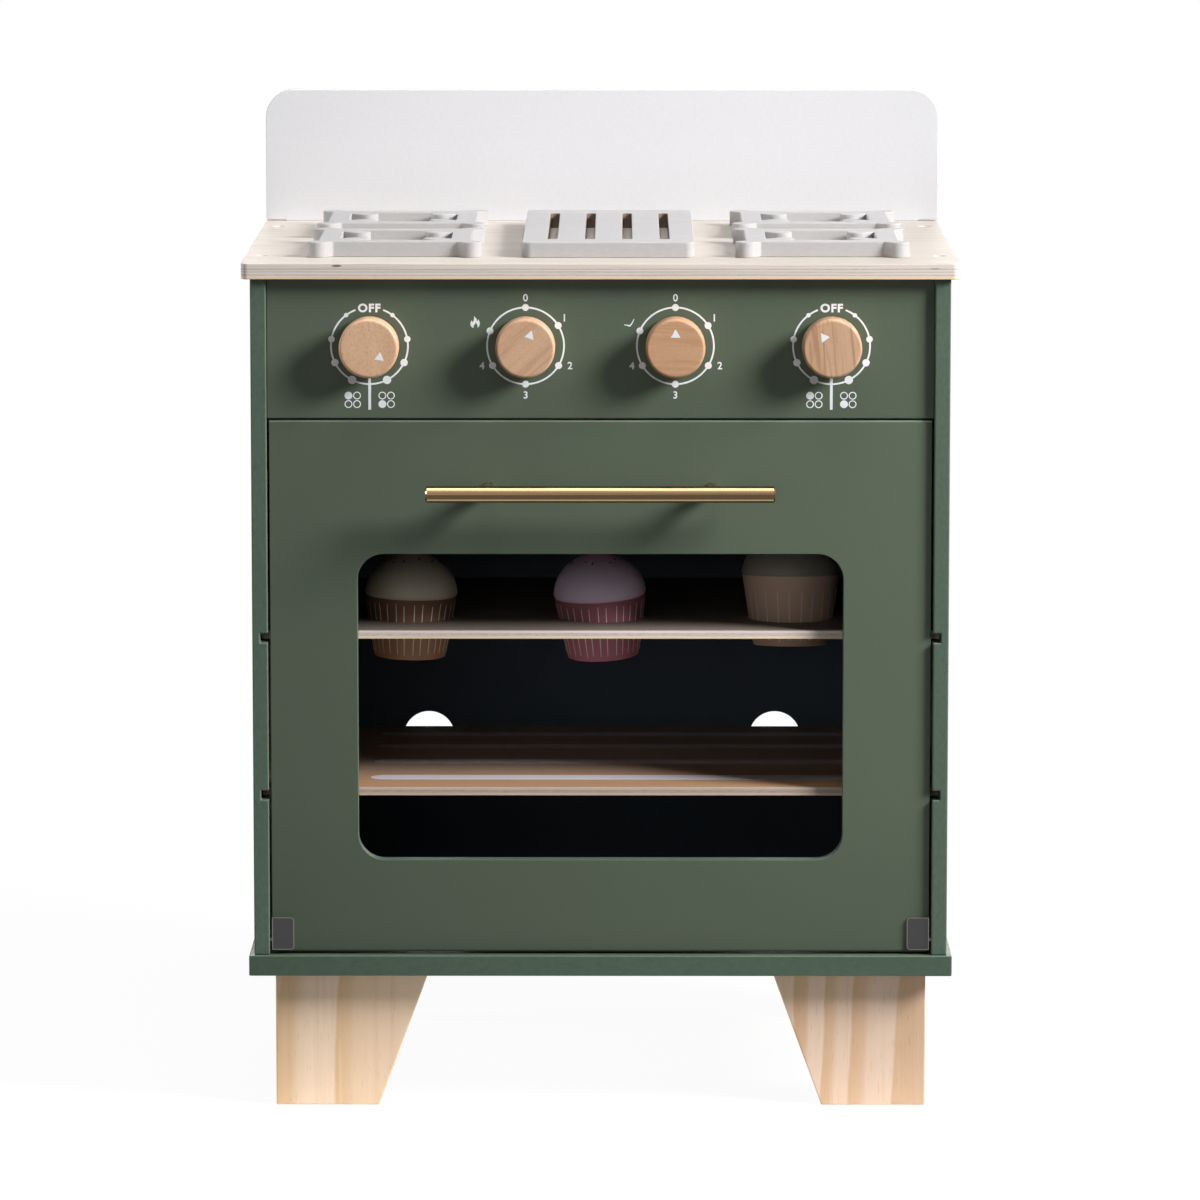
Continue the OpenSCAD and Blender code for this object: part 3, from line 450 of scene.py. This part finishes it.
SEVEN_PLIES = [(0.0, 1), (0.25, 0), (0.31, 1), (0.45, 0), (0.51, 1), (0.62, 0), (0.69, 1)]
THREE_PLIES = [(0.0, 1), (0.34, 0), (0.68, 1)]
# The counter's faces are painted darker towards +X: painted shade.
counter_ply = plywood(
    "counter_plywood", 0.483, 0.009, SEVEN_PLIES,
    ((0.635, 0.58, 0.53), (0.55, 0.485, 0.425)), ((0.78, 0.70, 0.64), (0.60, 0.515, 0.445)), 3.0,
    knots=(((-0.1502, -0.13825, 0.4908), (0.0036, 0.01, 0.0009)),
           ((0.1905, -0.13825, 0.4892), (0.0036, 0.01, 0.0003))), across=-0.55)
# The lower shelf's faces turn paler and less orange towards the back: painted light.
lower_ply = plywood(
    "lower_shelf_plywood", 0.182, 0.005, THREE_PLIES,
    ((0.455, 0.28, 0.165), (0.40, 0.235, 0.135)), ((0.61, 0.505, 0.44), (0.49, 0.38, 0.31)), 7.0,
    specular=0.06, rear=(0.62, 0.49, 0.43))
# The upper shelf's faces are painted dark and its edges pale, unlike the lower shelf of the same
# board: painted shade on the faces, painted light on the edges.
upper_ply = plywood(
    "upper_shelf_plywood", 0.2735, 0.005, THREE_PLIES,
    ((0.22, 0.18, 0.152), (0.185, 0.15, 0.125)), ((0.92, 0.79, 0.71), (0.78, 0.645, 0.57)), 12.0,
    specular=0.06)


def dress(material, *names):
    """Gives CAD nodes a material."""
    for name in names:
        slots = nodes[name].data.materials
        slots.clear()
        slots.append(material)


GRATES = [f"grate_{end}_{side}" for end in ("front", "rear") for side in ("left", "right")]
dress(counter_ply, "countertop")
dress(white_paint, "backsplash")
dress(green_side, "left_side_panel", "right_side_panel")
dress(green_flat, "base_board")
dress(green_panel, "control_panel")
dress(green_door, "door_panel")
dress(back_paint, "back_panel")
dress(griddle_paint, "griddle")
dress(grey_paint, *GRATES)
dress(lower_ply, "lower_shelf")
dress(upper_ply, "upper_shelf")
dress(brass, "handle_bar")
dress(post_brass, "handle_posts")
dress(zinc, "counter_screws", "base_screws", "leg_screws", "splash_screws", "catch_screws",
      "handle_screws", "hinge_screws", *[f"knob_{i}_retainer" for i in KNOBS])
dress(steel, "left_hinge_clip", "right_hinge_clip", "hinge_pins", "strike_disc")
dress(magnet, "catch_magnet")
dress(pad, "hinge_pads")
dress(nylon, "hinge_bushes")
dress(beech("beech_dowels", 21.0), "hob_dowels", "panel_dowels", "catch_block",
      *[f"knob_{i}_spindle" for i in KNOBS])

# Each knob's grain as beech() takes it: turn, strong, speckle, lift. The lift is partly
# painted light, more on knobs 1 and 2, on the left; knob 3's warmer tint is the wood's own.
KNOB_GRAIN = ((0.2, 0.1, 0.5, 1.3), (-0.85, 0.32, 0.3, 1.18),
              (1.5, 0.3, 0.35, (1.07, 1.0, 0.92)), (0.08, 0.7, 0.3, 1.1))
for i, grain in zip(KNOBS, KNOB_GRAIN):
    dress(beech(f"beech_knob_{i}", i * 5.0, *grain), f"knob_{i}")

# Growth rings as pine() takes them, and the lift, which is painted light and shade: lighter
# on the front left leg and darker on the front right one
WIDE_RINGS = [(-187, 0.5), (-185.5, 0.95), (-178, 0.85), (-172, 0.3), (-165, 0.12), (-156, 0),
              (-152.5, 0.1), (-151, 1), (-146, 0.85), (-141, 0.5), (-125, 0.4), (-104, 0.3)]
CLOSE_RINGS = [(101, 0.3), (111.8, 0.15), (113, 1), (119, 0.8), (121.5, 0.15), (129.8, 0),
               (131, 0.9), (135, 0.75), (139, 0.15), (145.6, 0.05), (147, 0.9), (153, 0.7),
               (156.5, 0.15), (171.5, 0), (173, 0.85), (180, 0.75), (187, 0.65)]


def mirrored(rings):
    return [(-x, dark) for x, dark in reversed(rings)]


LEG_GRAIN = {
    "leg_front_left": (WIDE_RINGS, (1.10, 1.11, 1.13)),
    "leg_front_right": (CLOSE_RINGS, (0.93, 0.90, 0.93)),
    "leg_rear_left": (mirrored(CLOSE_RINGS), 1.06),
    "leg_rear_right": (mirrored(WIDE_RINGS), 1.02),
}
for i, (leg, grain) in enumerate(LEG_GRAIN.items()):
    dress(pine(f"pine_{leg}", 2.0 + i * 3.0, *grain), leg)

CUPCAKE_FINISH = {
    "left": (tan_paint, cream_paint, berry_warm),
    "middle": (pink_paint, lilac_paint, berry_pink),
    "right": (sand_paint, oat_paint, berry_pink),
}
for side, (wrapper, icing, berry) in CUPCAKE_FINISH.items():
    dress(wrapper, f"cupcake_{side}_wrapper")
    dress(icing, f"cupcake_{side}_icing")
    dress(berry, f"cupcake_{side}_berry")


# Softened edges

SAME_PLACE = 4 * MICRON     # corners of the CAD that lie closer than this are one


def soften(width, *names):
    """Rounds a board's sharp edges, as sanding and paint do."""
    for name in names:
        o = nodes[name]
        weld = o.modifiers.new("weld", "WELD")
        weld.merge_threshold = SAME_PLACE
        flat = o.modifiers.new("flat", "DECIMATE")
        flat.decimate_type = "DISSOLVE"
        flat.angle_limit = math.radians(0.2)
        bevel = o.modifiers.new("bevel", "BEVEL")
        bevel.width = width
        bevel.segments = 3
        bevel.limit_method = "ANGLE"
        bevel.angle_limit = math.radians(40)
        bevel.loop_slide = False
        bevel.use_clamp_overlap = False     # or one tight corner thins all the edges
        normal = o.modifiers.new("normal", "WEIGHTED_NORMAL")
        normal.keep_sharp = True


soften(0.0008, "left_side_panel", "right_side_panel", "base_board", *LEG_GRAIN)
soften(0.0006, "control_panel", "griddle", *GRATES)
soften(0.0004, "door_panel", "countertop", "backsplash", "upper_shelf", "lower_shelf")


# Pieces in mesh code

# How far print stands off its face
INK, DISC_INK, BAR_INK = 50 * MICRON, 60 * MICRON, 70 * MICRON


def turns(count):
    return [2 * math.pi * i / count for i in range(count)]


def piece(name, mesh, material, body, smooth=False):
    """Turns a mesh into a visible piece that moves with the body."""
    data = bpy.data.meshes.new(name)
    mesh.to_mesh(data)
    mesh.free()
    data.materials.append(material)
    for polygon in data.polygons:
        polygon.use_smooth = smooth
    o = bpy.data.objects.new(name, data)
    scene.collection.objects.link(o)
    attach(o, body)


class Sheet:
    """Print on a flat face. `place(u, v, w)` gives the point at u mm across, v mm up and w metres
    off the face."""

    def __init__(self, place):
        self.place = place
        self.mesh = bmesh.new()

    def shape(self, outline, thick=INK):
        """A closed outline, raised off the face."""
        top = [self.mesh.verts.new(self.place(u, v, thick)) for u, v in outline]
        foot = [self.mesh.verts.new(self.place(u, v, 0)) for u, v in outline]
        self.mesh.faces.new(top)
        for i in range(len(outline)):
            j = (i + 1) % len(outline)
            self.mesh.faces.new((top[i], foot[i], foot[j], top[j]))

    def disc(self, u, v, r):
        rim = [(u + r * math.cos(t), v + r * math.sin(t)) for t in turns(40)]
        self.shape(rim, DISC_INK)

    def ring(self, u, v, r, line, start=0.0, end=360.0, count=120):
        """A ring, or the part from `start` to `end` degrees clockwise from the top."""
        closed = end - start >= 360
        inner, outer = r - line / 2, r + line / 2
        rows = []
        for i in range(count + (0 if closed else 1)):
            a = math.radians(start + (end - start) * i / count)
            s, c = math.sin(a), math.cos(a)
            rows.append([self.mesh.verts.new(self.place(u + q * s, v + q * c, w))
                         for q, w in ((inner, 0), (inner, INK), (outer, INK), (outer, 0))])
        for a, b in zip(rows, rows[1:] + rows[:1] if closed else rows[1:]):
            for k in range(3):
                self.mesh.faces.new((a[k], a[k + 1], b[k + 1], b[k]))

    def bar(self, u0, v0, u1, v1):
        self.shape([(u0, v0), (u1, v0), (u1, v1), (u0, v1)], BAR_INK)

    def words(self, text, u, v, width, height, bold, gaps=1.0):
        """Plain lettering about a middle, `height` tall, and `width` wide if that isn't None."""
        curve = bpy.data.curves.new("lettering", "FONT")
        curve.body = text
        curve.space_character = gaps
        curve.offset = bold
        curve.resolution_u = 6
        o = bpy.data.objects.new("lettering", curve)
        scene.collection.objects.link(o)
        depsgraph = bpy.context.evaluated_depsgraph_get()
        flat = bpy.data.meshes.new_from_object(o.evaluated_get(depsgraph))
        xs, ys = [p.co.x for p in flat.vertices], [p.co.y for p in flat.vertices]
        tall = height / (max(ys) - min(ys))
        wide = width / (max(xs) - min(xs)) if width else tall
        mid_x, mid_y = (max(xs) + min(xs)) / 2, (max(ys) + min(ys)) / 2
        made = [self.mesh.verts.new(
            self.place(u + (p.co.x - mid_x) * wide, v + (p.co.y - mid_y) * tall, DISC_INK))
            for p in flat.vertices]
        for polygon in flat.polygons:
            self.mesh.faces.new([made[i] for i in polygon.vertices])
        bpy.data.objects.remove(o)

    def finish(self, name, material, body):
        bmesh.ops.remove_doubles(self.mesh, verts=self.mesh.verts, dist=0.1 * MICRON)
        bmesh.ops.recalc_face_normals(self.mesh, faces=self.mesh.faces)
        piece(name, self.mesh, material, body)


# Dials and pointers, in mm from each knob's axis, with angles in degrees clockwise from the top

PANEL_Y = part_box("control_panel")[0].y
RING_R, RING_LINE = 22, 1.0
OFF_GAP = 21                       # half the ring's opening for the word OFF
HOB_DOTS = ((37, 1.27), (80, 1.85), (116, 2.1), (153, 2.4))     # angle, radius, both sides
HOB_BAR = (-0.8, -36.7, 0.8, -17.9)
HOB_ROWS = (-28.6, -33.5)
# The middle of each sign of four plates, and which of its plates is filled
HOB_SIGNS = ((-9.68, (-12.13, -28.6)), (9.7, (7.28, -33.5)))
HOB_STEP, HOB_RING_R, HOB_RING_LINE, HOB_DISC_R = 2.45, 1.95, 0.6, 1.8
OVEN_DOTS, OVEN_DOT_R = (0, 58, 121, 180, 239, 293), 2.0
OVEN_DIGITS = (("0", 0, 27.6), ("1", 22.2, 16.1), ("2", 25.4, -11.3), ("3", 0, -28.2),
               ("4", -24.9, -11.4))
FLAME = [(-0.7, 3.45), (0.55, 2.3), (1.0, 1.3), (0.95, 0.5), (1.45, 0.8), (1.75, 1.7),
         (2.45, 0.6), (2.75, -0.8), (2.35, -2.3), (1.3, -3.3), (1.45, -2.3), (1.1, -1.2),
         (0.25, -0.1), (0.0, -1.2), (-0.75, -1.9), (-0.9, -2.7), (-0.7, -3.4), (-2.0, -2.9),
         (-2.7, -1.6), (-2.6, -0.1), (-1.9, 1.1), (-1.75, 0.3), (-1.2, 0.0), (-0.85, 1.0),
         (-0.45, 2.2)]
TICK = [(-2.9, -1.0), (-1.3, -1.15), (0.3, -1.35), (1.2, -0.2), (2.4, 2.0), (2.9, 2.3),
        (2.7, 1.5), (1.75, -0.5), (0.9, -1.9), (0.3, -2.25), (-0.6, -2.2), (-1.1, -1.75),
        (-2.9, -1.5)]
OVEN_ICONS = {2: (FLAME, -28.8, 13.6), 3: (TICK, -26.3, 13.3)}
POINTER_TURNS = (128, 20, 0, -36)
POINTER_AWAY, POINTER_REACH = 8.0, 3.2     # from the axis to its middle, and on to its tips


def on_front(x, y, z):
    """The place on an upright face at y, about the point x, z."""
    return lambda u, v, w: Vector((x + u * MM, y - w, z + v * MM))


def hob_dial(dial):
    dial.ring(0, 0, RING_R, RING_LINE, OFF_GAP, 360 - OFF_GAP)
    dial.words("OFF", 0, 21.7, width=12.9, height=5.1, bold=0.045, gaps=1.16)
    for angle, r in HOB_DOTS:
        for a in (math.radians(angle), math.radians(-angle)):
            dial.disc(RING_R * math.sin(a), RING_R * math.cos(a), r)
    dial.bar(*HOB_BAR)
    for centre, filled in HOB_SIGNS:
        for u in (centre - HOB_STEP, centre + HOB_STEP):
            for v in HOB_ROWS:
                dial.ring(u, v, HOB_RING_R, HOB_RING_LINE, count=40)
                if abs(u - filled[0]) < 0.1 and abs(v - filled[1]) < 0.1:
                    dial.disc(u, v, HOB_DISC_R)


def oven_dial(dial, icon, icon_u, icon_v):
    dial.ring(0, 0, RING_R, RING_LINE)
    for angle in OVEN_DOTS:
        a = math.radians(angle)
        dial.disc(RING_R * math.sin(a), RING_R * math.cos(a), OVEN_DOT_R)
    for text, u, v in OVEN_DIGITS:
        dial.words(text, u, v, width=None, height=4.3, bold=0.02)
    dial.shape([(icon_u + u, icon_v + v) for u, v in icon])


for i, pointer_turn in zip(KNOBS, POINTER_TURNS):
    low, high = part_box(f"knob_{i}")
    axis = (low + high) / 2
    dial = Sheet(on_front(axis.x, PANEL_Y, axis.z))
    if i in OVEN_ICONS:
        oven_dial(dial, *OVEN_ICONS[i])
    else:
        hob_dial(dial)
    dial.finish(f"dial_print_{i}", print_ink, "carcass")

    pointer = Sheet(on_front(axis.x, low.y, axis.z))
    turn = math.radians(pointer_turn)
    pointer.shape([(POINTER_AWAY * math.sin(turn) + POINTER_REACH * math.sin(turn + t),
                    POINTER_AWAY * math.cos(turn) + POINTER_REACH * math.cos(turn + t))
                   for t in (0, math.radians(120), math.radians(240))])
    pointer.finish(f"pointer_{i}", print_ink, f"knob_{i}_turning_parts")


# Printed bars with round ends on the lower shelf, in mm

SHELF_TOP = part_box("lower_shelf")[1].z
FRONT_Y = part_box("countertop")[0].y
BAR_LEFT, BAR_RIGHT = -134, 150
# How far behind the counter's front edge each bar starts and ends
SHELF_BARS = {"front": (45, 61, shelf_ink), "second": (103, 117, rear_bar_ink),
              "third": (160, 174, rear_bar_ink), "rear": (206, 219, rear_bar_ink)}
HALF_TURN = [math.pi * (k / 14 - 0.5) for k in range(15)]
for name, (near, far, ink) in SHELF_BARS.items():
    bars = Sheet(lambda u, v, w: Vector((u * MM, FRONT_Y + v * MM, SHELF_TOP + w)))
    r, mid = (far - near) / 2, (far + near) / 2
    outline = [(BAR_LEFT + r - r * math.cos(t), mid + r * math.sin(t)) for t in HALF_TURN]
    outline += [(BAR_RIGHT - r + r * math.cos(t), mid - r * math.sin(t)) for t in HALF_TURN]
    bars.shape(outline)
    bars.finish(f"shelf_print_{name}", ink, "lower_shelf_board")


# Pleats and sprinkles on the cupcakes, in mm

# A wrapper is a cone, `foot` and `rim` across and `tall` high. It stands at x along the shelf,
# leans `forward` and `right` degrees, and has `pleats` lines that end `below` its rim.
Cupcake = namedtuple("Cupcake", "x foot rim tall forward right pleats below")
CUPCAKES = {
    "left": Cupcake(-111, 41.8, 53.4, 36, 0, 1.5, 30, 2.4),
    "middle": Cupcake(0, 41.8, 53.4, 36, 3, -3.4, 31, 2.4),
    "right": Cupcake(111, 44.2, 56.8, 41, -5, 0, 23, 7.0),
}
SEAT_R = 24.6                      # a wrapper's radius where it sits on its hole's rim
HOLE_Y, HOLE_Z = -62.75, 278.5
PLEAT_STEPS = 8
PLEAT_PROFILE = ((-1, -0.02), (-1, 0.05), (1, 0.05), (1, -0.02))     # sideways, off the cone
SPRINKLE = (1.5, 0.5, 0.3, 1)      # half its length, width and height
SPRINKLE_COUNT = 11
DOME_TALL, DOME_OVER = 25, 0.4     # the icing dome above the rim, and past it all round


def seat_of(cup):
    """Where the middle of a wrapper's foot is, and how it leans."""
    taper = (cup.rim - cup.foot) / 2 / cup.tall
    forward, right = math.radians(cup.forward), math.radians(cup.right)
    shift = SEAT_R * taper
    return (Matrix.Translation((cup.x - shift * math.sin(right),
                                HOLE_Y + shift * math.sin(forward), HOLE_Z))
            @ Matrix.Rotation(right, 4, "Y") @ Matrix.Rotation(forward, 4, "X")
            @ Matrix.Translation((0, 0, -(SEAT_R - cup.foot / 2) / taper)))


def pleat(mesh, cup, seat, angle, low, high):
    """A thin raised line up the wrapper, from the height `low` to `high`."""
    taper = (cup.rim - cup.foot) / 2 / cup.tall
    rows = []
    for step in range(PLEAT_STEPS + 1):
        t = step / PLEAT_STEPS
        z = low + (high - low) * t
        half = 0.06 + 0.22 * math.sin(math.pi * min(1, t * 0.9 + 0.05)) ** 0.6
        r = cup.foot / 2 + taper * z
        row = []
        for sideways, lift in PLEAT_PROFILE:
            a = angle + sideways * half / r
            row.append(mesh.verts.new(seat @ Vector((
                (r + lift) * math.cos(a), (r + lift) * math.sin(a), z)) * MM))
        rows.append(row)
    for a, b in zip(rows, rows[1:]):
        for q in range(3):
            mesh.faces.new((a[q], b[q], b[q + 1], a[q + 1]))
    mesh.faces.new(rows[0])
    mesh.faces.new(rows[-1][::-1])


random.seed(4)
for side, cup in CUPCAKES.items():
    seat = seat_of(cup)
    pleats = bmesh.new()
    for angle in turns(cup.pleats):
        angle += random.uniform(-0.025, 0.025)
        low = 3.0 + random.uniform(-0.6, 0.6)
        high = cup.tall - cup.below - random.uniform(0, 1.6)
        pleat(pleats, cup, seat, angle, low, high)
    bmesh.ops.recalc_face_normals(pleats, faces=pleats.faces)
    piece(f"cupcake_{side}_pleats", pleats, pleat_ink, f"cupcake_{side}")

    sprinkles = bmesh.new()
    dome = cup.rim / 2 + DOME_OVER
    for angle in turns(SPRINKLE_COUNT):
        angle += random.uniform(-0.2, 0.2)
        up = math.radians(random.uniform(50, 64))
        r, z = dome * math.cos(up), cup.tall + DOME_TALL * math.sin(up)
        flat = DOME_TALL * math.cos(up)
        out = Vector((flat * math.cos(angle), flat * math.sin(angle), dome * math.sin(up)))
        face = out.to_track_quat("Z", "Y").to_matrix().to_4x4()
        at = Matrix.Translation((r * math.cos(angle), r * math.sin(angle), z))
        spin = Matrix.Rotation(random.uniform(0, math.pi), 4, "Z")
        bmesh.ops.create_icosphere(
            sprinkles, subdivisions=2, radius=1.0,
            matrix=Matrix.Scale(MM, 4) @ seat @ at @ face @ spin @ Matrix.Diagonal(SPRINKLE))
    piece(f"cupcake_{side}_sprinkles", sprinkles, sprinkle_ink, f"cupcake_{side}",
          smooth=True)


# Cross recesses in the screw heads

GRID = 50000     # steps a metre, to which corners are rounded to see which solids share them


def solids(node):
    """The box of each separate solid in a CAD node."""
    mesh = nodes[node].data
    keys = [tuple(round(c * GRID) for c in v.co) for v in mesh.vertices]
    group = {k: k for k in keys}

    def root(k):
        while group[k] != k:
            group[k] = group[group[k]]
            k = group[k]
        return k

    for polygon in mesh.polygons:
        first = root(keys[polygon.vertices[0]])
        for i in polygon.vertices[1:]:
            group[root(keys[i])] = first
    found = {}
    for v, k in zip(mesh.vertices, keys):
        found.setdefault(root(k), []).append(v.co)
    return [(Vector(map(min, zip(*spots))), Vector(map(max, zip(*spots))))
            for spots in found.values()]


CROSS_HALF = 0.3844                # half the width of a cross's arms, mm
CROSS_TOP, CROSS_FOOT = (0.3, 1.05), (-1.5, 0.5)     # height in mm, and its size there


def recess(node, body, way, arm, widest=1.0):
    """Cuts a tapered cross into the head of each screw that is less than `widest` metres across.
    `way` is where the heads face, and `arm` is half the length of the cross, in mm."""
    way = Vector(way)
    cutter = bmesh.new()
    w = CROSS_HALF
    outline = [(arm, -w), (arm, w), (w, w), (w, arm), (-w, arm), (-w, w),
               (-arm, w), (-arm, -w), (-w, -w), (-w, -arm), (w, -arm), (w, -w)]
    count = len(outline)
    face = way.to_track_quat("Z", "Y").to_matrix().to_4x4()
    for low, high in solids(node):
        if high.x - low.x >= widest:
            continue
        at = (low + high) / 2
        for k in (X, Y, Z):
            if way[k]:
                at[k] = high[k] if way[k] > 0 else low[k]
        spin = Matrix.Rotation(0.5 + 7 * at.x + 11 * at.y, 4, "Z")
        put_at = Matrix.Translation(at) @ face @ spin
        top, foot = [[cutter.verts.new(put_at @ Vector((u * s * MM, v * s * MM, z * MM)))
                      for u, v in outline] for z, s in (CROSS_TOP, CROSS_FOOT)]
        cutter.faces.new(top)
        cutter.faces.new(foot[::-1])
        for k in range(count):
            j = (k + 1) % count
            cutter.faces.new((top[j], top[k], foot[k], foot[j]))
    bmesh.ops.recalc_face_normals(cutter, faces=cutter.faces)
    data = bpy.data.meshes.new(f"{node}_recess")
    cutter.to_mesh(data)
    cutter.free()
    o = bpy.data.objects.new(f"{node}_recess", data)
    scene.collection.objects.link(o)
    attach(o, body)
    o.hide_render = o.hide_viewport = True
    weld = nodes[node].modifiers.new("weld", "WELD")
    weld.merge_threshold = SAME_PLACE
    cut = nodes[node].modifiers.new("recess", "BOOLEAN")
    cut.operation = "DIFFERENCE"
    cut.solver = "EXACT"
    cut.object = o


UP, DOWN, BACK = (0, 0, 1), (0, 0, -1), (0, 1, 0)
recess("counter_screws", "carcass", UP, 2.48)
recess("base_screws", "carcass", DOWN, 2.48)
recess("leg_screws", "carcass", UP, 2.48)
recess("splash_screws", "carcass", DOWN, 2.48)
recess("catch_screws", "carcass", BACK, 2.48)
recess("handle_screws", "door", BACK, 2.79)
recess("hinge_screws", "door", BACK, 1.705)
for i in KNOBS:
    # The washer, which shares the node, is wider than 10 mm
    recess(f"knob_{i}_retainer", f"knob_{i}_turning_parts", BACK, 2.48, widest=10 * MM)


# Floor, light and camera

def seen_straight(tree):
    """1 for the camera's, glossy and transmission rays, and 0 for the others."""
    path = add_node(tree, "ShaderNodeLightPath", {})
    total = path.outputs["Is Camera Ray"]
    for name in ("Is Glossy Ray", "Is Transmission Ray"):
        total = add_node(tree, "ShaderNodeMath", {0: total, 1: path.outputs[name]},
                         operation="MAXIMUM").outputs[0]
    return total


FLOOR_HALF = 40                    # metres
FLOOR_GREY, FLOOR_LIFT = 0.07, 0.945     # near the object, so that its shadow shows
FADE_FROM, FADE_TO = 0.5, 1.6      # where the shown floor turns to plain white
POOL_SQUASH = (0.7, 1, 1)          # it is longer from side to side
POOL_FROM, POOL_TO = 0.17, 0.30    # where the floor that lights the object turns dark
POOL_PALE, POOL_DARK, POOL_GLOW = 0.95, 0.04, 0.3


def make_floor():
    """A white floor with a faint shadow. What lights the object from below is another floor: a
    pale pool under it, and dark beyond."""
    mesh = bmesh.new()
    bmesh.ops.create_grid(mesh, x_segments=4, y_segments=4, size=FLOOR_HALF)
    data = bpy.data.meshes.new("floor")
    mesh.to_mesh(data)
    mesh.free()
    floor = bpy.data.objects.new("floor", data)
    scene.collection.objects.link(floor)
    floor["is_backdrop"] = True
    material = bpy.data.materials.new("floor")
    material.use_nodes = True
    tree = material.node_tree
    tree.nodes.clear()

    def add(kind, inputs, **settings):
        return add_node(tree, kind, inputs, **settings).outputs[0]

    def away(vector):
        return add_node(tree, "ShaderNodeVectorMath", {0: vector},
                        operation="LENGTH").outputs["Value"]

    place = add_node(tree, "ShaderNodeTexCoord", {}).outputs["Object"]
    fade = add("ShaderNodeMapRange", {
        "Value": away(place), "From Min": FADE_FROM, "From Max": FADE_TO},
        interpolation_type="SMOOTHSTEP")
    squashed = add("ShaderNodeVectorMath", {0: place, 1: POOL_SQUASH}, operation="MULTIPLY")
    pool = add("ShaderNodeMapRange", {
        "Value": away(squashed), "From Min": POOL_FROM, "From Max": POOL_TO,
        "To Min": POOL_PALE, "To Max": POOL_DARK}, interpolation_type="SMOOTHSTEP")
    glow = add("ShaderNodeMath", {0: pool, 1: POOL_GLOW}, operation="MULTIPLY")
    lighting = add("ShaderNodeAddShader", {
        0: add("ShaderNodeBsdfDiffuse", {"Color": pool}),
        1: add("ShaderNodeEmission", {"Strength": glow})})
    near = add("ShaderNodeAddShader", {
        0: add("ShaderNodeBsdfDiffuse", {"Color": (FLOOR_GREY, FLOOR_GREY, FLOOR_GREY, 1)}),
        1: add("ShaderNodeEmission", {"Strength": FLOOR_LIFT})})
    far = add("ShaderNodeEmission", {"Strength": 1.0})
    shown = add("ShaderNodeMixShader", {0: fade, 1: near, 2: far})
    seen = add("ShaderNodeMixShader", {0: seen_straight(tree), 1: lighting, 2: shown})
    add_node(tree, "ShaderNodeOutputMaterial", {"Surface": seen})
    data.materials.append(material)


def make_world(level):
    """A dim white light from all round, which the camera and glossy surfaces see as white."""
    world = bpy.data.worlds.new("studio")
    scene.world = world
    world.use_nodes = True
    tree = world.node_tree
    tree.nodes.clear()
    dim, white = [add_node(tree, "ShaderNodeBackground", {
        "Color": (1, 1, 1, 1), "Strength": strength}).outputs[0] for strength in (level, 1.0)]
    seen = add_node(tree, "ShaderNodeMixShader", {0: seen_straight(tree), 1: dim, 2: white})
    add_node(tree, "ShaderNodeOutputWorld", {"Surface": seen.outputs[0]})


LIT_POINT = Vector((0, -0.05, 0.3))


def area_light(name, azimuth, elevation, distance, size, power):
    """A round soft light; azimuth is degrees to the right of the front, elevation degrees up."""
    a, e = math.radians(azimuth), math.radians(elevation)
    way = Vector((math.sin(a) * math.cos(e), -math.cos(a) * math.cos(e), math.sin(e)))
    data = bpy.data.lights.new(name, "AREA")
    data.shape = "DISK"
    data.size = size
    data.energy = power
    o = bpy.data.objects.new(name, data)
    o.location = LIT_POINT + way * distance
    o.rotation_euler = (-way).to_track_quat("-Z", "Y").to_euler()
    scene.collection.objects.link(o)


make_floor()
make_world(level=0.02)
area_light("key", azimuth=63.5, elevation=30.5, distance=2.4, size=0.85, power=93)
area_light("top", azimuth=0, elevation=79, distance=1.3, size=0.75, power=6.0)
area_light("fill", azimuth=-15, elevation=7, distance=2.5, size=1.4, power=3.6)
area_light("side", azimuth=-96, elevation=12, distance=2.5, size=0.8, power=30)
area_light("back", azimuth=176, elevation=3, distance=2.6, size=1.4, power=24)

EYE = (0.01257, -4.03825, 0.8456)
EYE_TILT, EYE_TURN = 82.019, 0.188     # degrees up from straight down, and to the left
lens = bpy.data.cameras.new("camera")
lens.sensor_width = 36
lens.lens = 206.165
lens.clip_start = 0.1
lens.clip_end = 100
camera = bpy.data.objects.new("camera", lens)
camera.location = EYE
camera.rotation_euler = Euler((math.radians(EYE_TILT), 0, math.radians(EYE_TURN)))
scene.collection.objects.link(camera)
scene.camera = camera
scene.view_settings.view_transform = "Standard"

low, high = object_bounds()
